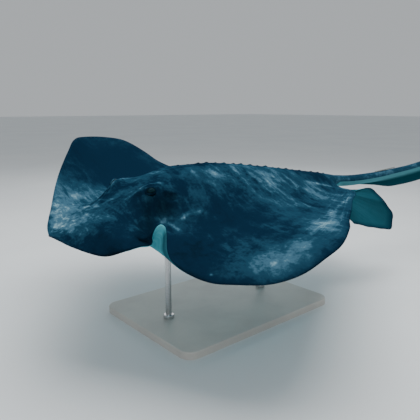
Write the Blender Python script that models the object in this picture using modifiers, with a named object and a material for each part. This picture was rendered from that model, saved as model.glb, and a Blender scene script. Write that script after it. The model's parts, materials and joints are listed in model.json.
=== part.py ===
"""A southern stingray as a life-size still model, swimming over a plain display stand.

Points of the animal are (x, s, h): x to its left, s back from the snout tip and h above it, in metres.
The body is one closed skin, shaped from a few curves, and is then parted by thin cuts.
"""
import math
import random

import bmesh
import bpy
import numpy as np
from mathutils import Matrix, Vector
from mathutils.bvhtree import BVHTree

# Where the snout tip is, over the middle of the stand's base
SNOUT_Y = -0.46
SNOUT_Z = 0.28
SNOUT_TIP = (0, -.001, -.001)

# Margin of the disc from the snout round each wing to the tail: s, distance from the midline, h
MARGIN_LEFT = [
    (0, 0, -.001), (.008, .03, -.006), (.02, .06, -.014), (.052, .13, -.023), (.074, .175, -.006),
    (.0920, .196, .0036), (.1060, .2065, .0059), (.1089, .209, .0118), (.1081, .21, .0212),
    (.1104, .2115, .0314), (.1156, .2135, .0407), (.1223, .217, .0449), (.1273, .223, .0406),
    (.1269, .228, .0281), (.1240, .232, .0101), (.1215, .237, -.0017), (.1220, .247, -.0160),
    (.133, .280, -.035), (.150, .325, -.044), (.175, .358, -.044), (.22, .40, -.042),
    (.27, .425, -.03), (.33, .432, -.010), (.40, .415, -.004), (.50, .366, .003), (.60, .30, -.006),
    (.70, .24, -.003), (.80, .178, 0), (.865, .145, .005), (.905, .11, .006), (.925, .07, .004),
    (.922, .042, .005), (.93, .029, .010), (.96, .0245, .0185)]
MARGIN_RIGHT = [
    (0, 0, 0), (.01, .032, .010), (.025, .06, .022), (.04, .083, .035), (.085, .16, .070),
    (.14, .25, .10), (.20, .33, .138), (.26, .42, .16), (.33, .50, .163), (.40, .50, .160),
    (.46, .475, .148), (.51, .44, .113), (.545, .405, .079), (.60, .36, .05), (.70, .27, .02),
    (.80, .19, .01), (.865, .145, .005), (.905, .11, .005), (.925, .07, .004), (.922, .042, .005),
    (.93, .029, .010), (.96, .0245, .0185)]
# Where the rib that reaches a point of the margin leaves the midline: fraction of the margin, s
RIB_ROOT = [(0, 0), (.2, .13), (.45, .37), (.7, .60), (.85, .74), (.95, .88), (1, .96)]
FLAT_RIB = .22
WING_RISE = 1.8

# The left front margin is rolled up: fraction of the margin, degrees of curl
CURL = [(0, 0), (.155, 0), (.175, 16), (.19, 52), (.202, 70), (.215, 58), (.23, 30), (.245, 5), (.26, -4),
        (.30, -12), (.42, -20), (.55, -20), (.8, 0), (1, 0)]
CURL_ZONE = .055

# Back and belly on the midline, and how wide and how square the body is: s, value
BACK = [(0, 0), (.05, .022), (.10, .042), (.154, .065), (.19, .080), (.24, .098), (.28, .109), (.33, .117),
        (.41, .117), (.495, .109), (.609, .094), (.7375, .0745), (.843, .058), (.911, .0465), (.96, .0373)]
BELLY = [(0, 0), (.1, .016), (.2, .03), (.35, .043), (.5, .046), (.65, .040), (.8, .026), (.9, .012),
         (.96, 0)]
BODY_WIDTH = [(0, .15), (.08, .13), (.15, .100), (.20, .097), (.25, .115), (.30, .130), (.5, .135), (.7, .10),
              (.84, .065), (.92, .045), (.96, .04)]
BODY_POWER = [(0, 2.6), (.2, 2.6), (.3, 2.4), (.4, 2), (.96, 2)]
BELLY_SPREAD = 1.15
BELLY_POWER = 2.4
# The body swells out of the fin over this distance from the margin: distance, share
BODY_FADE = [(0, 0), (.02, .45), (.05, .85), (.09, 1), (1, 1)]
FADE_REACH = .09

# Half the fin's thickness at its margin, and what it gains towards the body
FIN_EDGE = .0022
FIN_GAIN = .010
FIN_GAIN_REACH = .35
FIN_NOSE = .006

# Brow over each eye, and the eye itself
BROW_S = .197
BROW_X = .069
BROW_HEIGHT = .030
BROW_LENGTH = .038
BROW_BREADTH = .028
EYE_RADIUS = .0120
EYE_CENTRE = (.0725, .1965, .0760)
EYE_OUTWARD = (.80, -.22, .55)
LID_RADIUS = .0113
LID_THICK = .0029
LID_RISE = .0023
SPIRACLE_PLACE = (.088, .238)
SPIRACLE_SIZE = (.011, .021, .015)
SPIRACLE_TURN = (38, -12)

# Mesh of the body: rings from snout to tail, spokes round
RINGS = 51
SPOKES = 72
RING_CROWD_AT = (.20, .20)
RING_CROWD = (1.2, 1.1)
RING_CROWD_REACH = (.15, .04)
SPOKE_CROWD_AT = (.35, 1.0)
SPOKE_CROWD = (.7, 1.2)
SPOKE_CROWD_REACH = (.22, .10)
# Small step in fraction of margin or rib, for slopes
NUDGE = 1e-3

# Cuts between the named lengths, and the gap that each leaves
GAP = .0003
WALL_HALF_HEIGHT = .35
WING_ROOT = [(-.02, .085), (.03, .095), (.10, .125), (.19, .140), (.30, .158), (.45, .160), (.60, .135),
             (.72, .100), (.84, .065), (.93, .036), (1.0, .034)]
NAPE_S = .372

# Tail: s, x, top of the tail h, half width, half height
TAIL = [(.96, 0, .0373, .0245, .0187), (1.06, 0, .0285, .0205, .0175), (1.188, .018, .0305, .0168, .0165),
        (1.26, .036, .0372, .0152, .0150), (1.325, .060, .0470, .0140, .0140),
        (1.373, .082, .0580, .0130, .0135), (1.50, .135, .0800, .0105, .0110),
        (1.70, .195, .0980, .0068, .0070), (1.95, .215, .1030, .0038, .0040),
        (2.20, .190, .0900, .0016, .0016)]
TAIL_SPOKES = 12
TAIL_LENGTHS = [("tail_base", .0, .14, 7), ("tail_middle", .14, .45, 14), ("tail_whip_front", .45, .72, 11),
                ("tail_whip_rear", .72, 1.0, 11)]
KEEL = [(0, 0), (.30, 0), (.36, .003), (.60, .003), (.70, 0), (1, 0)]
FOLD = [(.115, .001), (.17, .012), (.24, .034), (.32, .038), (.40, .034), (.52, .020), (.62, .001)]
FOLD_STATIONS = 18
FOLD_HALF_THICK = .0016
FOLD_SECTION = [(.9, 0), (1, -.12), (.8, -.55), (.4, -1), (-.4, -1), (-.8, -.55), (-1, -.12), (-.9, 0)]

# Sting: where it leaves the tail, its length, breadth and thickness
STING_AT = .175
STING_LENGTH = .105
STING_BREADTH = .0075
STING_THICK = .0024
STING_RISE = 2
STING_BARBS = 16
STING_ROOT = [(0, .0030), (.006, .0034)]
STING_FIRST_BARB = .008
STING_POINT = .004
BARB_STEP = .0009
BARB_LENGTH = .0022

# Pelvic fins: tip of each ray from front to rear as (s, distance from the midline, h)
PELVIC_ROOT = [(.862, .036, -.002), (.938, .014, .006)]
PELVIC_LEFT = [(.893, .127, -.092), (.9445, .146, -.1075), (.9943, .160, -.1185), (1.0475, .165, -.1262),
               (1.0660, .160, -.1015), (1.0665, .155, -.0790), (1.0555, .148, -.0590), (1.0430, .140, -.0420),
               (1.0345, .120, -.0190), (1.0155, .100, .0016), (.9935, .085, -.0024), (.9755, .075, -.0070)]
PELVIC_RIGHT = [(.935, .125, -.034), (.985, .158, -.040), (1.035, .150, -.036), (1.050, .120, -.026),
                (1.040, .092, -.016), (1.022, .074, -.006), (.995, .062, .002), (.968, .050, .006)]
PELVIC_RAYS = 14
PELVIC_STEPS = 5
PELVIC_THICK = .0030
PELVIC_EDGE = .45
PELVIC_FRINGE = .015
PELVIC_BOW = .010
PELVIC_SAG = .012

# Row of tubercles along the back
TUBERCLES = 20
TUBERCLE_RUN = (.325, .900)
TUBERCLE_BASE = .0052
TUBERCLE_TALL = .0085
TUBERCLE_SIDES = 6
TUBERCLE_TIP = .12
TUBERCLE_SHOWN = .22
TUBERCLE_LEAN = .45
TUBERCLE_LOSS = .35
TUBERCLE_SPREAD = (.0012, .003, .15)
RANDOM_SEED = 7

# Underside: places, then half width and half depth of each slit, lip and flap
MOUTH_S = .172
MOUTH_HALF = .040
MOUTH_BOW = -.007
MOUTH_STEPS = 8
MOUTH_SLIT = (.0021, .0060)
LIP_SHIFT = .0044
LIP = (.0036, .0024)
NOSTRIL_PLACE = (.030, .146)
NOSTRIL_SIZE = (.0085, .004, .006)
NOSTRIL_SLANT = -35
NASAL_FLAP_S = .150
NASAL_FLAP_SIZE = (.024, .0095, .0034)
GILLS = 5
GILL_FIRST = (.102, .2535)
GILL_LAST = (.073, .351)
GILL_HALF = .013
GILL_BOW = .004
GILL_STEPS = 4
GILL_SLIT = (.0017, .0040)
GILL_FLAP = (.0030, .0016)
GILL_FLAP_SHIFT = -.0038

# Stand
BASE_SIZE = (.36, .50, .018)
BASE_ROUND = .030
BASE_BEVEL = .003
BASE_ROUND_STEPS = 6
BASE_BEVEL_STEPS = 2
ROD_RADIUS = .0075
ROD_S = {"stand_rod_front": .290, "stand_rod_rear": .620}
ROD_SUNK = .022
ROD_SIDES = 24


def spline(keys, x):
    """Value at x of a smooth curve through (x, value, ...) keys that never overshoots them."""
    keys = np.asarray(keys, float)
    knots, values = keys[:, 0], keys[:, 1:]
    x = np.clip(np.asarray(x, float), knots[0], knots[-1])
    step = np.diff(knots)
    rate = np.diff(values, axis=0) / step[:, None]
    slope = np.zeros_like(values)
    slope[0], slope[-1] = rate[0], rate[-1]
    for i in range(1, len(knots) - 1):
        before, after = rate[i - 1], rate[i]
        weight_a = 2 * step[i] + step[i - 1]
        weight_b = step[i] + 2 * step[i - 1]
        turns = before * after <= 0
        safe_before = np.where(turns, 1, before)
        safe_after = np.where(turns, 1, after)
        mean = (weight_a + weight_b) / (weight_a / safe_before + weight_b / safe_after)
        slope[i] = np.where(turns, 0, mean)
    i = np.clip(np.searchsorted(knots, x, side="right") - 1, 0, len(knots) - 2)
    width = step[i][..., None]
    t = (x[..., None] - knots[i][..., None]) / width
    result = (values[i] * (2 * t**3 - 3 * t**2 + 1) + slope[i] * width * (t**3 - 2 * t**2 + t)
              + values[i + 1] * (3 * t**2 - 2 * t**3) + slope[i + 1] * width * (t**3 - t**2))
    return result[..., 0] if values.shape[1] == 1 else result


def smooth_path(points, per_span=16):
    """A smooth curve through points, as its length fractions and its many points."""
    points = np.asarray(points, float)
    knots = np.concatenate([[0], np.cumsum(np.linalg.norm(np.diff(points, axis=0), axis=1) ** .5)])
    step = np.diff(knots)[:, None]
    rate = np.diff(points, axis=0) / step
    inner = (rate[:-1] * step[1:] + rate[1:] * step[:-1]) / (step[1:] + step[:-1])
    slope = np.vstack([rate[:1], inner, rate[-1:]])
    spans = []
    for i in range(len(points) - 1):
        t = np.linspace(0, 1, per_span, endpoint=False)[:, None]
        spans.append(points[i] * (2 * t**3 - 3 * t**2 + 1) + slope[i] * step[i] * (t**3 - 2 * t**2 + t)
                     + points[i + 1] * (3 * t**2 - 2 * t**3) + slope[i + 1] * step[i] * (t**3 - t**2))
    curve = np.vstack(spans + [points[-1:]])
    length = np.concatenate([[0], np.cumsum(np.linalg.norm(np.diff(curve, axis=0), axis=1))])
    return length / length[-1], curve


def along(path, fraction):
    """Point of a smooth path at a fraction of its length."""
    fractions, curve = path
    return np.stack([np.interp(fraction, fractions, curve[:, k]) for k in range(curve.shape[1])], axis=-1)


MARGINS = {1: smooth_path(MARGIN_LEFT), -1: smooth_path(MARGIN_RIGHT)}
TAIL_PATH = smooth_path(TAIL)


def curl_of(side, v, reach):
    """How far a rolled margin draws back and rises, for a reach into the rolled zone."""
    degrees = spline(CURL, v) if side > 0 else 0 * np.asarray(v, float)
    turn = np.radians(degrees)
    turn = np.where(np.abs(turn) < 1e-3, 1e-3, turn)
    back = CURL_ZONE / turn * np.sin(turn * reach / CURL_ZONE) - reach
    rise = CURL_ZONE / turn * (1 - np.cos(turn * reach / CURL_ZONE))
    return back, rise


def middle_sheet(side, v, r):
    """Middle of the disc's thickness at fraction v of the margin and r of the rib, and the rib's length."""
    margin = along(MARGINS[side], v)
    root = spline(RIB_ROOT, v)
    span = np.hypot(margin[..., 0] - root, margin[..., 1])
    out_s = (margin[..., 0] - root) / np.maximum(span, 1e-9)
    out_x = margin[..., 1] / np.maximum(span, 1e-9)
    back, rise = curl_of(side, v, CURL_ZONE + 0 * v)
    span = span - back
    reach = np.clip(CURL_ZONE - (1 - r) * span, 0, None)
    drawn, lifted = curl_of(side, v, reach)
    s = root + span * r * out_s + drawn * out_s
    x = span * r * out_x + drawn * out_x
    bend = np.clip((r - FLAT_RIB) / (1 - FLAT_RIB), 0, None) ** WING_RISE
    h = (margin[..., 2] - rise) * bend + lifted
    return np.stack([side * x, s, h], axis=-1), span


def body_swell(s, x):
    """How far the body stands above and below the middle sheet."""
    width = spline(BODY_WIDTH, s)
    power = spline(BODY_POWER, s)
    across = np.abs(x)
    above = spline(BACK, s) * np.exp(-(across / width) ** power)
    below = spline(BELLY, s) * np.exp(-(across / (width * BELLY_SPREAD)) ** BELLY_POWER)
    brow = BROW_HEIGHT * np.exp(-((s - BROW_S) / BROW_LENGTH) ** 2 - ((across - BROW_X) / BROW_BREADTH) ** 2)
    return above, below, brow


def half_skin(side, v, r, grow):
    """Upper and lower skin of one side of the disc, grown outwards by a gap where asked."""
    sheet, span = middle_sheet(side, v, r)
    v_less, v_more = np.clip(v - NUDGE, 0, 1), np.clip(v + NUDGE, 0, 1)
    r_less, r_more = np.clip(r - NUDGE, 0, 1), np.clip(r + NUDGE, 0, 1)
    ahead = middle_sheet(side, v_more, r)[0] - middle_sheet(side, v_less, r)[0]
    outward = middle_sheet(side, v, r_more)[0] - middle_sheet(side, v, r_less)[0]
    normal = np.cross(outward, ahead) * side
    normal = normal / np.maximum(np.linalg.norm(normal, axis=-1, keepdims=True), 1e-12)
    edge = (1 - r) * span
    nose = np.sqrt(np.clip(1 - (1 - np.clip(edge / FIN_NOSE, 0, 1)) ** 2, 0, 1))
    fin = (FIN_EDGE + FIN_GAIN * np.clip(edge / FIN_GAIN_REACH, 0, 1)) * nose
    fin_middle = FIN_EDGE + FIN_GAIN * np.clip(span / FIN_GAIN_REACH, 0, 1)
    above, below, brow = body_swell(sheet[..., 1], sheet[..., 0])
    fade = spline(BODY_FADE, edge * FADE_REACH / np.minimum(span, FADE_REACH))
    ratio_above = np.clip(1 - fin_middle / np.maximum(spline(BACK, sheet[..., 1]), 1e-6), 0, 1)
    ratio_below = np.clip(1 - fin_middle / np.maximum(spline(BELLY, sheet[..., 1]), 1e-6), 0, 1)
    up = np.array([0, 0, 1.0])
    top = sheet + normal * (fin + grow)[..., None] + up * ((above * ratio_above + brow) * fade)[..., None]
    bottom = sheet - normal * (fin + grow)[..., None] - up * (below * ratio_below * fade)[..., None]
    out = outward / np.maximum(np.linalg.norm(outward, axis=-1, keepdims=True), 1e-12)
    rim = (grow * (edge < 1e-6))[..., None] * out
    return top + rim, bottom + rim


def crowded(count, centres, amounts, reaches):
    """Fractions from 0 to 1 that lie closer together round some centres."""
    fine = np.linspace(0, 1, 400)
    density = np.ones_like(fine)
    for centre, amount, reach in zip(centres, amounts, reaches):
        density += amount * np.exp(-((fine - centre) / reach) ** 2)
    total = np.concatenate([[0], np.cumsum((density[1:] + density[:-1]) / 2)])
    return np.interp(np.linspace(0, 1, count), total / total[-1], fine)


def body_rings(rings, spokes, grow=0):
    """Points of the body skin, one loop for each ring: back, left margin, belly, right margin."""
    v = crowded(rings + 1, RING_CROWD_AT, RING_CROWD, RING_CROWD_REACH)[1:]
    r = crowded(spokes // 4 + 1, SPOKE_CROWD_AT, SPOKE_CROWD, SPOKE_CROWD_REACH)
    v_grid, r_grid = np.meshgrid(v, r, indexing="ij")
    left_top, left_bottom = half_skin(1, v_grid, r_grid, grow)
    right_top, right_bottom = half_skin(-1, v_grid, r_grid, grow)
    left = [left_top, left_bottom[:, -2::-1]]
    right = [right_bottom[:, 1:], right_top[:, -2:0:-1]]
    loops = np.concatenate(left + right, axis=1)
    loops[-1, :, 1] = RIB_ROOT[-1][1]
    return loops


def to_world(point):
    """Place of a point of the animal over the stand."""
    return Vector((float(point[0]), SNOUT_Y + float(point[1]), SNOUT_Z + float(point[2])))


def new_object(name, bm, collection):
    """Put a bmesh into the scene as an object with its place in the mesh."""
    mesh = bpy.data.meshes.new(name)
    bm.to_mesh(mesh)
    bm.free()
    obj = bpy.data.objects.new(name, mesh)
    collection.objects.link(obj)
    return obj


def tube_from_rings(name, rings, collection, tip=None):
    """A closed skin through rings of points: a sphere whose rings take their places.

    Quads are split the same way on the upper and lower face of a fin.
    """
    count, spokes = rings.shape[:2]
    bm = bmesh.new()
    bmesh.ops.create_uvsphere(bm, u_segments=spokes, v_segments=count + 1, radius=1)
    places = {}
    for vert in bm.verts:
        ring = round(math.acos(max(-1, min(1, vert.co.z))) / math.pi * (count + 1))
        spoke = round(-math.atan2(vert.co.y, vert.co.x) / (2 * math.pi) * spokes) % spokes
        places[vert] = (ring, spoke)
    for vert, (ring, spoke) in places.items():
        if ring == 0:
            vert.co = to_world(rings[0].mean(axis=0) if tip is None else tip)
        elif ring == count + 1:
            vert.co = to_world(rings[-1].mean(axis=0))
        else:
            vert.co = to_world(rings[ring - 1, spoke])
    for face in [face for face in bm.faces if len(face.verts) == 4]:
        pick = {places[vert]: vert for vert in face.verts}
        first_ring = min(ring for ring, _ in pick)
        low, high = sorted({spoke for _, spoke in pick})
        if high - low > 1:
            low, high = high, low
        outwards = low % (spokes // 2) < spokes // 4
        start, end = (high, low) if outwards else (low, high)
        bmesh.utils.face_split(face, pick[(first_ring, start)], pick[(first_ring + 1, end)])
    return new_object(name, bm, collection)


def apply_modifiers(obj):
    """Turn an object's modifiers into its mesh."""
    depsgraph = bpy.context.evaluated_depsgraph_get()
    mesh = bpy.data.meshes.new_from_object(obj.evaluated_get(depsgraph))
    obj.modifiers.clear()
    obj.data = mesh


def combine(obj, operation, collection):
    """Join a collection to an object, or cut it out, and remove what was used."""
    boolean = obj.modifiers.new(operation.lower(), "BOOLEAN")
    boolean.operation = operation
    boolean.operand_type = "COLLECTION"
    boolean.collection = collection
    boolean.solver = "EXACT"
    apply_modifiers(obj)
    for used in list(collection.objects):
        bpy.data.objects.remove(used)


def closed_pieces(obj):
    """The closed surfaces of an object as bmeshes, largest first."""
    bm = bmesh.new()
    bm.from_mesh(obj.data)
    bmesh.ops.triangulate(bm, faces=bm.faces)
    pieces = []
    unseen = set(bm.verts)
    while unseen:
        stack = [unseen.pop()]
        piece = set(stack)
        while stack:
            for edge in stack.pop().link_edges:
                for vert in edge.verts:
                    if vert in unseen:
                        unseen.discard(vert)
                        piece.add(vert)
                        stack.append(vert)
        copy = bm.copy()
        keep = {vert.index for vert in piece}
        copy.verts.ensure_lookup_table()
        bmesh.ops.delete(copy, geom=[vert for vert in copy.verts if vert.index not in keep], context="VERTS")
        pieces.append(copy)
    bm.free()
    return sorted(pieces, key=lambda part: part.calc_volume(), reverse=True)


def keep_largest(obj):
    """Drop all but the largest closed surface of an object."""
    pieces = closed_pieces(obj)
    pieces[0].to_mesh(obj.data)
    for piece in pieces:
        piece.free()


def split_up(obj, count, collection):
    """Replace an object by its largest closed surfaces."""
    pieces = closed_pieces(obj)
    made = [new_object("piece", piece, collection) for piece in pieces[:count]]
    for piece in pieces[count:]:
        piece.free()
    bpy.data.objects.remove(obj)
    return made


def middle_of(obj):
    """Middle of an object's box."""
    corners = [Vector(corner) for corner in obj.bound_box]
    return sum(corners, Vector()) / 8


def thin_wall(name, plan, collection):
    """An upright wall as thick as the gap, along a line of (s, x) points."""
    path = smooth_path(plan, per_span=4)[1]
    bm = bmesh.new()
    bmesh.ops.create_grid(bm, x_segments=len(path) - 1, y_segments=1, size=1)
    for vert in bm.verts:
        step = round((vert.co.x + 1) / 2 * (len(path) - 1))
        vert.co = to_world((path[step][1], path[step][0], WALL_HALF_HEIGHT * vert.co.y))
    wall = new_object(name, bm, collection)
    solid = wall.modifiers.new("thickness", "SOLIDIFY")
    solid.thickness = GAP
    solid.offset = 0
    apply_modifiers(wall)
    return wall


def add_thorn(collection, place, direction, size):
    """A blunt cone whose foot is sunk below the place on the skin."""
    bm = bmesh.new()
    radius = TUBERCLE_BASE * size
    height = TUBERCLE_TALL * size
    turn = direction.to_track_quat("Z", "Y").to_matrix().to_4x4()
    move = Matrix.Translation(place + direction.normalized() * height * TUBERCLE_SHOWN)
    bmesh.ops.create_cone(bm, cap_ends=True, cap_tris=True, segments=TUBERCLE_SIDES, radius1=radius,
                          radius2=radius * TUBERCLE_TIP, depth=height, matrix=move @ turn)
    return new_object("tubercle", bm, collection)


def add_ellipsoid(name, collection, place, size, turn, segments, rings):
    """A rounded lump or hollow of three half sizes."""
    bm = bmesh.new()
    matrix = Matrix.Translation(place) @ turn @ Matrix.Diagonal((*size, 1))
    bmesh.ops.create_uvsphere(bm, u_segments=segments, v_segments=rings, radius=1, matrix=matrix)
    return new_object(name, bm, collection)


def add_bent_bar(name, collection, line, half_size):
    """A bar of four sides through points, narrowed to a point at both ends, for a slit or a lip."""
    half_width, half_depth = half_size
    count = len(line)
    bm = bmesh.new()
    bmesh.ops.create_uvsphere(bm, u_segments=4, v_segments=count - 1, radius=1)
    for vert in bm.verts:
        ring = round(math.acos(max(-1, min(1, vert.co.z))) / math.pi * (count - 1))
        spoke = round(math.atan2(vert.co.y, vert.co.x) / (math.pi / 2)) % 4
        ahead = (line[min(ring + 1, count - 1)] - line[max(ring - 1, 0)]).normalized()
        across = ahead.cross(Vector((0, 0, 1))).normalized()
        sideways, upright = ((1, 0), (0, 1), (-1, 0), (0, -1))[spoke]
        swell = 0 if ring in (0, count - 1) else 1
        vert.co = line[ring] + swell * (across * sideways * half_width + Vector((0, 0, upright * half_depth)))
    bmesh.ops.recalc_face_normals(bm, faces=bm.faces)
    return new_object(name, bm, collection)


def skin_finder(obj):
    """A function that drops a plumb line onto an object's skin, from above or from below."""
    bm = bmesh.new()
    bm.from_mesh(obj.data)
    tree = BVHTree.FromBMesh(bm)
    bm.free()

    def find(x, s, from_above=True):
        start = Vector((x, SNOUT_Y + s, 2 if from_above else -2))
        place, normal, _, _ = tree.ray_cast(start, Vector((0, 0, -1 if from_above else 1)))
        return place, normal

    return find


def turned(degrees, axis):
    """A rotation."""
    return Matrix.Rotation(math.radians(degrees), 4, axis)


def add_head_forms(find, raised, hollow):
    """Lids round the eyes, spiracles, and the nostrils, mouth and gills of the underside."""
    for side in (1, -1):
        centre = to_world((side * EYE_CENTRE[0], EYE_CENTRE[1], EYE_CENTRE[2]))
        outward = Vector((side * EYE_OUTWARD[0], EYE_OUTWARD[1], EYE_OUTWARD[2])).normalized()
        add_lid(raised, centre, outward)
        make_eye("socket", side, hollow, EYE_RADIUS + GAP)
        tilt = turned(side * SPIRACLE_TURN[0], "Y") @ turned(side * SPIRACLE_TURN[1], "Z")
        spiracle, _ = find(side * SPIRACLE_PLACE[0], SPIRACLE_PLACE[1])
        add_ellipsoid("spiracle", hollow, spiracle, SPIRACLE_SIZE, tilt, 12, 8)
        nostril, _ = find(side * NOSTRIL_PLACE[0], NOSTRIL_PLACE[1], from_above=False)
        add_ellipsoid("nostril", hollow, nostril, NOSTRIL_SIZE, turned(side * NOSTRIL_SLANT, "Z"), 10, 6)
        for gill in range(GILLS):
            add_gill(find, raised, hollow, side, gill / (GILLS - 1))
    add_mouth(find, raised, hollow)
    flap, _ = find(0, NASAL_FLAP_S, from_above=False)
    add_ellipsoid("nasal_flap", raised, flap, NASAL_FLAP_SIZE, Matrix(), 12, 6)


def add_gill(find, raised, hollow, side, share):
    """A gill slit and the flap in front of it."""
    x = GILL_FIRST[0] + share * (GILL_LAST[0] - GILL_FIRST[0])
    s = GILL_FIRST[1] + share * (GILL_LAST[1] - GILL_FIRST[1])
    slit = []
    flap = []
    for step in range(GILL_STEPS + 1):
        across = (2 * step / GILL_STEPS - 1) * GILL_HALF
        bow = GILL_BOW * (1 - (across / GILL_HALF) ** 2)
        slit.append(find(side * (x + across), s + bow, from_above=False)[0])
        flap.append(find(side * (x + across), s + bow + GILL_FLAP_SHIFT, from_above=False)[0])
    add_bent_bar("gill_slit", hollow, slit, GILL_SLIT)
    add_bent_bar("gill_flap", raised, flap, GILL_FLAP)


def add_mouth(find, raised, hollow):
    """The bent line of the mouth between its two lips."""
    forms = [("mouth", 0, hollow, MOUTH_SLIT), ("upper_lip", -LIP_SHIFT, raised, LIP),
             ("lower_lip", LIP_SHIFT, raised, LIP)]
    for name, shift, goes_to, half_size in forms:
        line = []
        for step in range(MOUTH_STEPS + 1):
            across = (2 * step / MOUTH_STEPS - 1) * MOUTH_HALF
            bow = MOUTH_BOW * (1 - (across / MOUTH_HALF) ** 2)
            line.append(find(across, MOUTH_S + bow + shift, from_above=False)[0])
        add_bent_bar(name, goes_to, line, half_size)


def add_lid(raised, centre, outward):
    """A rim round the eye where its lids meet the ball."""
    turn = outward.to_track_quat("Z", "Y").to_matrix().to_4x4()
    bpy.ops.mesh.primitive_torus_add(major_segments=14, minor_segments=5, major_radius=LID_RADIUS,
                                     minor_radius=LID_THICK)
    lid = bpy.context.active_object
    lid.name = "lid"
    lid.data.transform(Matrix.Translation(centre + outward * LID_RISE) @ turn)
    for holder in list(lid.users_collection):
        holder.objects.unlink(lid)
    raised.objects.link(lid)


def add_tubercles(find, raised):
    """The row of blunt thorns along the back, leaning back."""
    draw = random.Random(RANDOM_SEED)
    aside, along_back, in_size = TUBERCLE_SPREAD
    places = []
    for number in range(TUBERCLES):
        share = number / (TUBERCLES - 1)
        s = TUBERCLE_RUN[0] + share * (TUBERCLE_RUN[1] - TUBERCLE_RUN[0])
        s += draw.uniform(-along_back, along_back)
        if abs(s - NAPE_S) < TUBERCLE_TALL:
            s = NAPE_S + TUBERCLE_TALL
        places.append((draw.uniform(-aside, aside), s, 1 - TUBERCLE_LOSS * share))
    for x, s, size in places:
        skin, normal = find(x, s)
        lean = normal + Vector((0, TUBERCLE_LEAN, 0))
        add_thorn(raised, skin, lean, size * draw.uniform(1 - in_size, 1 + in_size))


def tail_frame(fraction):
    """Middle, half sizes, and the sideways, upward and forward directions along the tail."""
    fraction = np.asarray(fraction, float)
    keys = along(TAIL_PATH, fraction)
    before, after = np.clip(fraction - NUDGE, 0, 1), np.clip(fraction + NUDGE, 0, 1)
    ahead = along(TAIL_PATH, after) - along(TAIL_PATH, before)
    ahead = np.stack([ahead[..., 1], ahead[..., 0], ahead[..., 2] - ahead[..., 4]], axis=-1)
    ahead = np.where((fraction < NUDGE)[..., None], np.array([0, 1.0, 0]), ahead)
    ahead /= np.linalg.norm(ahead, axis=-1, keepdims=True)
    sideways = np.cross(ahead, np.array([0, 0, 1.0]))
    sideways /= np.linalg.norm(sideways, axis=-1, keepdims=True)
    upward = np.cross(sideways, ahead)
    middle = np.stack([keys[..., 1], keys[..., 0], keys[..., 2] - keys[..., 4]], axis=-1)
    return middle, keys[..., 3], keys[..., 4], sideways, upward, ahead


def tail_rings(start, end, count, spokes):
    """Rings of a length of the tail: top, then round by its left."""
    fraction = np.linspace(start, end, count)
    middle, half_width, half_height, sideways, upward, _ = tail_frame(fraction)
    angle = np.linspace(0, 2 * math.pi, spokes, endpoint=False)
    lift = spline(KEEL, fraction)
    high = half_height[:, None] * np.cos(angle)[None, :] + lift[:, None] * (angle < 1e-6)[None, :]
    wide = half_width[:, None] * np.sin(angle)[None, :]
    return middle[:, None] + sideways[:, None] * wide[..., None] + upward[:, None] * high[..., None]


def make_tail(collection):
    """The tail in its lengths, each ending in a flat face one gap before the next."""
    length = np.linalg.norm(np.diff(TAIL_PATH[1][:, :3], axis=0), axis=1).sum()
    for name, start, end, count in TAIL_LENGTHS:
        tube_from_rings(name, tail_rings(start + GAP / length, end, count, TAIL_SPOKES), collection)


def make_tail_fold(collection):
    """The thin fold of skin that hangs under the tail, one gap below it."""
    fraction = np.linspace(FOLD[0][0], FOLD[-1][0], FOLD_STATIONS)
    middle, _, half_height, sideways, upward, _ = tail_frame(fraction)
    depth = spline(FOLD, fraction)
    rings = []
    for wide, down in FOLD_SECTION:
        drop = -half_height - GAP + down * depth
        rings.append(middle + sideways * FOLD_HALF_THICK * wide + upward * drop[:, None])
    return tube_from_rings("tail_fold", np.stack(rings, axis=1), collection)


def make_sting(collection):
    """The flat barbed sting that lies on the tail, one gap above it."""
    middle, _, half_height, sideways, upward, ahead = tail_frame(STING_AT)
    rise = math.radians(STING_RISE)
    run = ahead * math.cos(rise) + upward * math.sin(rise)
    foot = middle + upward * (half_height + GAP + STING_THICK / 2)
    outline = sting_outline()
    bm = bmesh.new()
    bmesh.ops.create_circle(bm, cap_ends=True, segments=len(outline), radius=1)
    for vert, (forward, across) in zip(bm.verts, outline):
        vert.co = to_world(foot + run * forward + sideways * across)
    bmesh.ops.triangulate(bm, faces=bm.faces)
    sting = new_object("sting", bm, collection)
    solid = sting.modifiers.new("thickness", "SOLIDIFY")
    solid.thickness = STING_THICK
    solid.offset = 0
    apply_modifiers(sting)


def sting_outline():
    """Outline of the sting from its root, up one barbed edge and down the other: distance along, across."""
    half = list(STING_ROOT)
    for barb in range(STING_BARBS):
        share = (barb + .5) / STING_BARBS
        reach = STING_BREADTH / 2 * math.sqrt(1 - share)
        forward = STING_FIRST_BARB + share * (STING_LENGTH - STING_FIRST_BARB - STING_POINT)
        half.append((forward, reach + BARB_STEP * math.sqrt(1 - share)))
        half.append((forward + BARB_LENGTH, reach))
    return half + [(forward, -across) for forward, across in reversed(half)]


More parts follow.
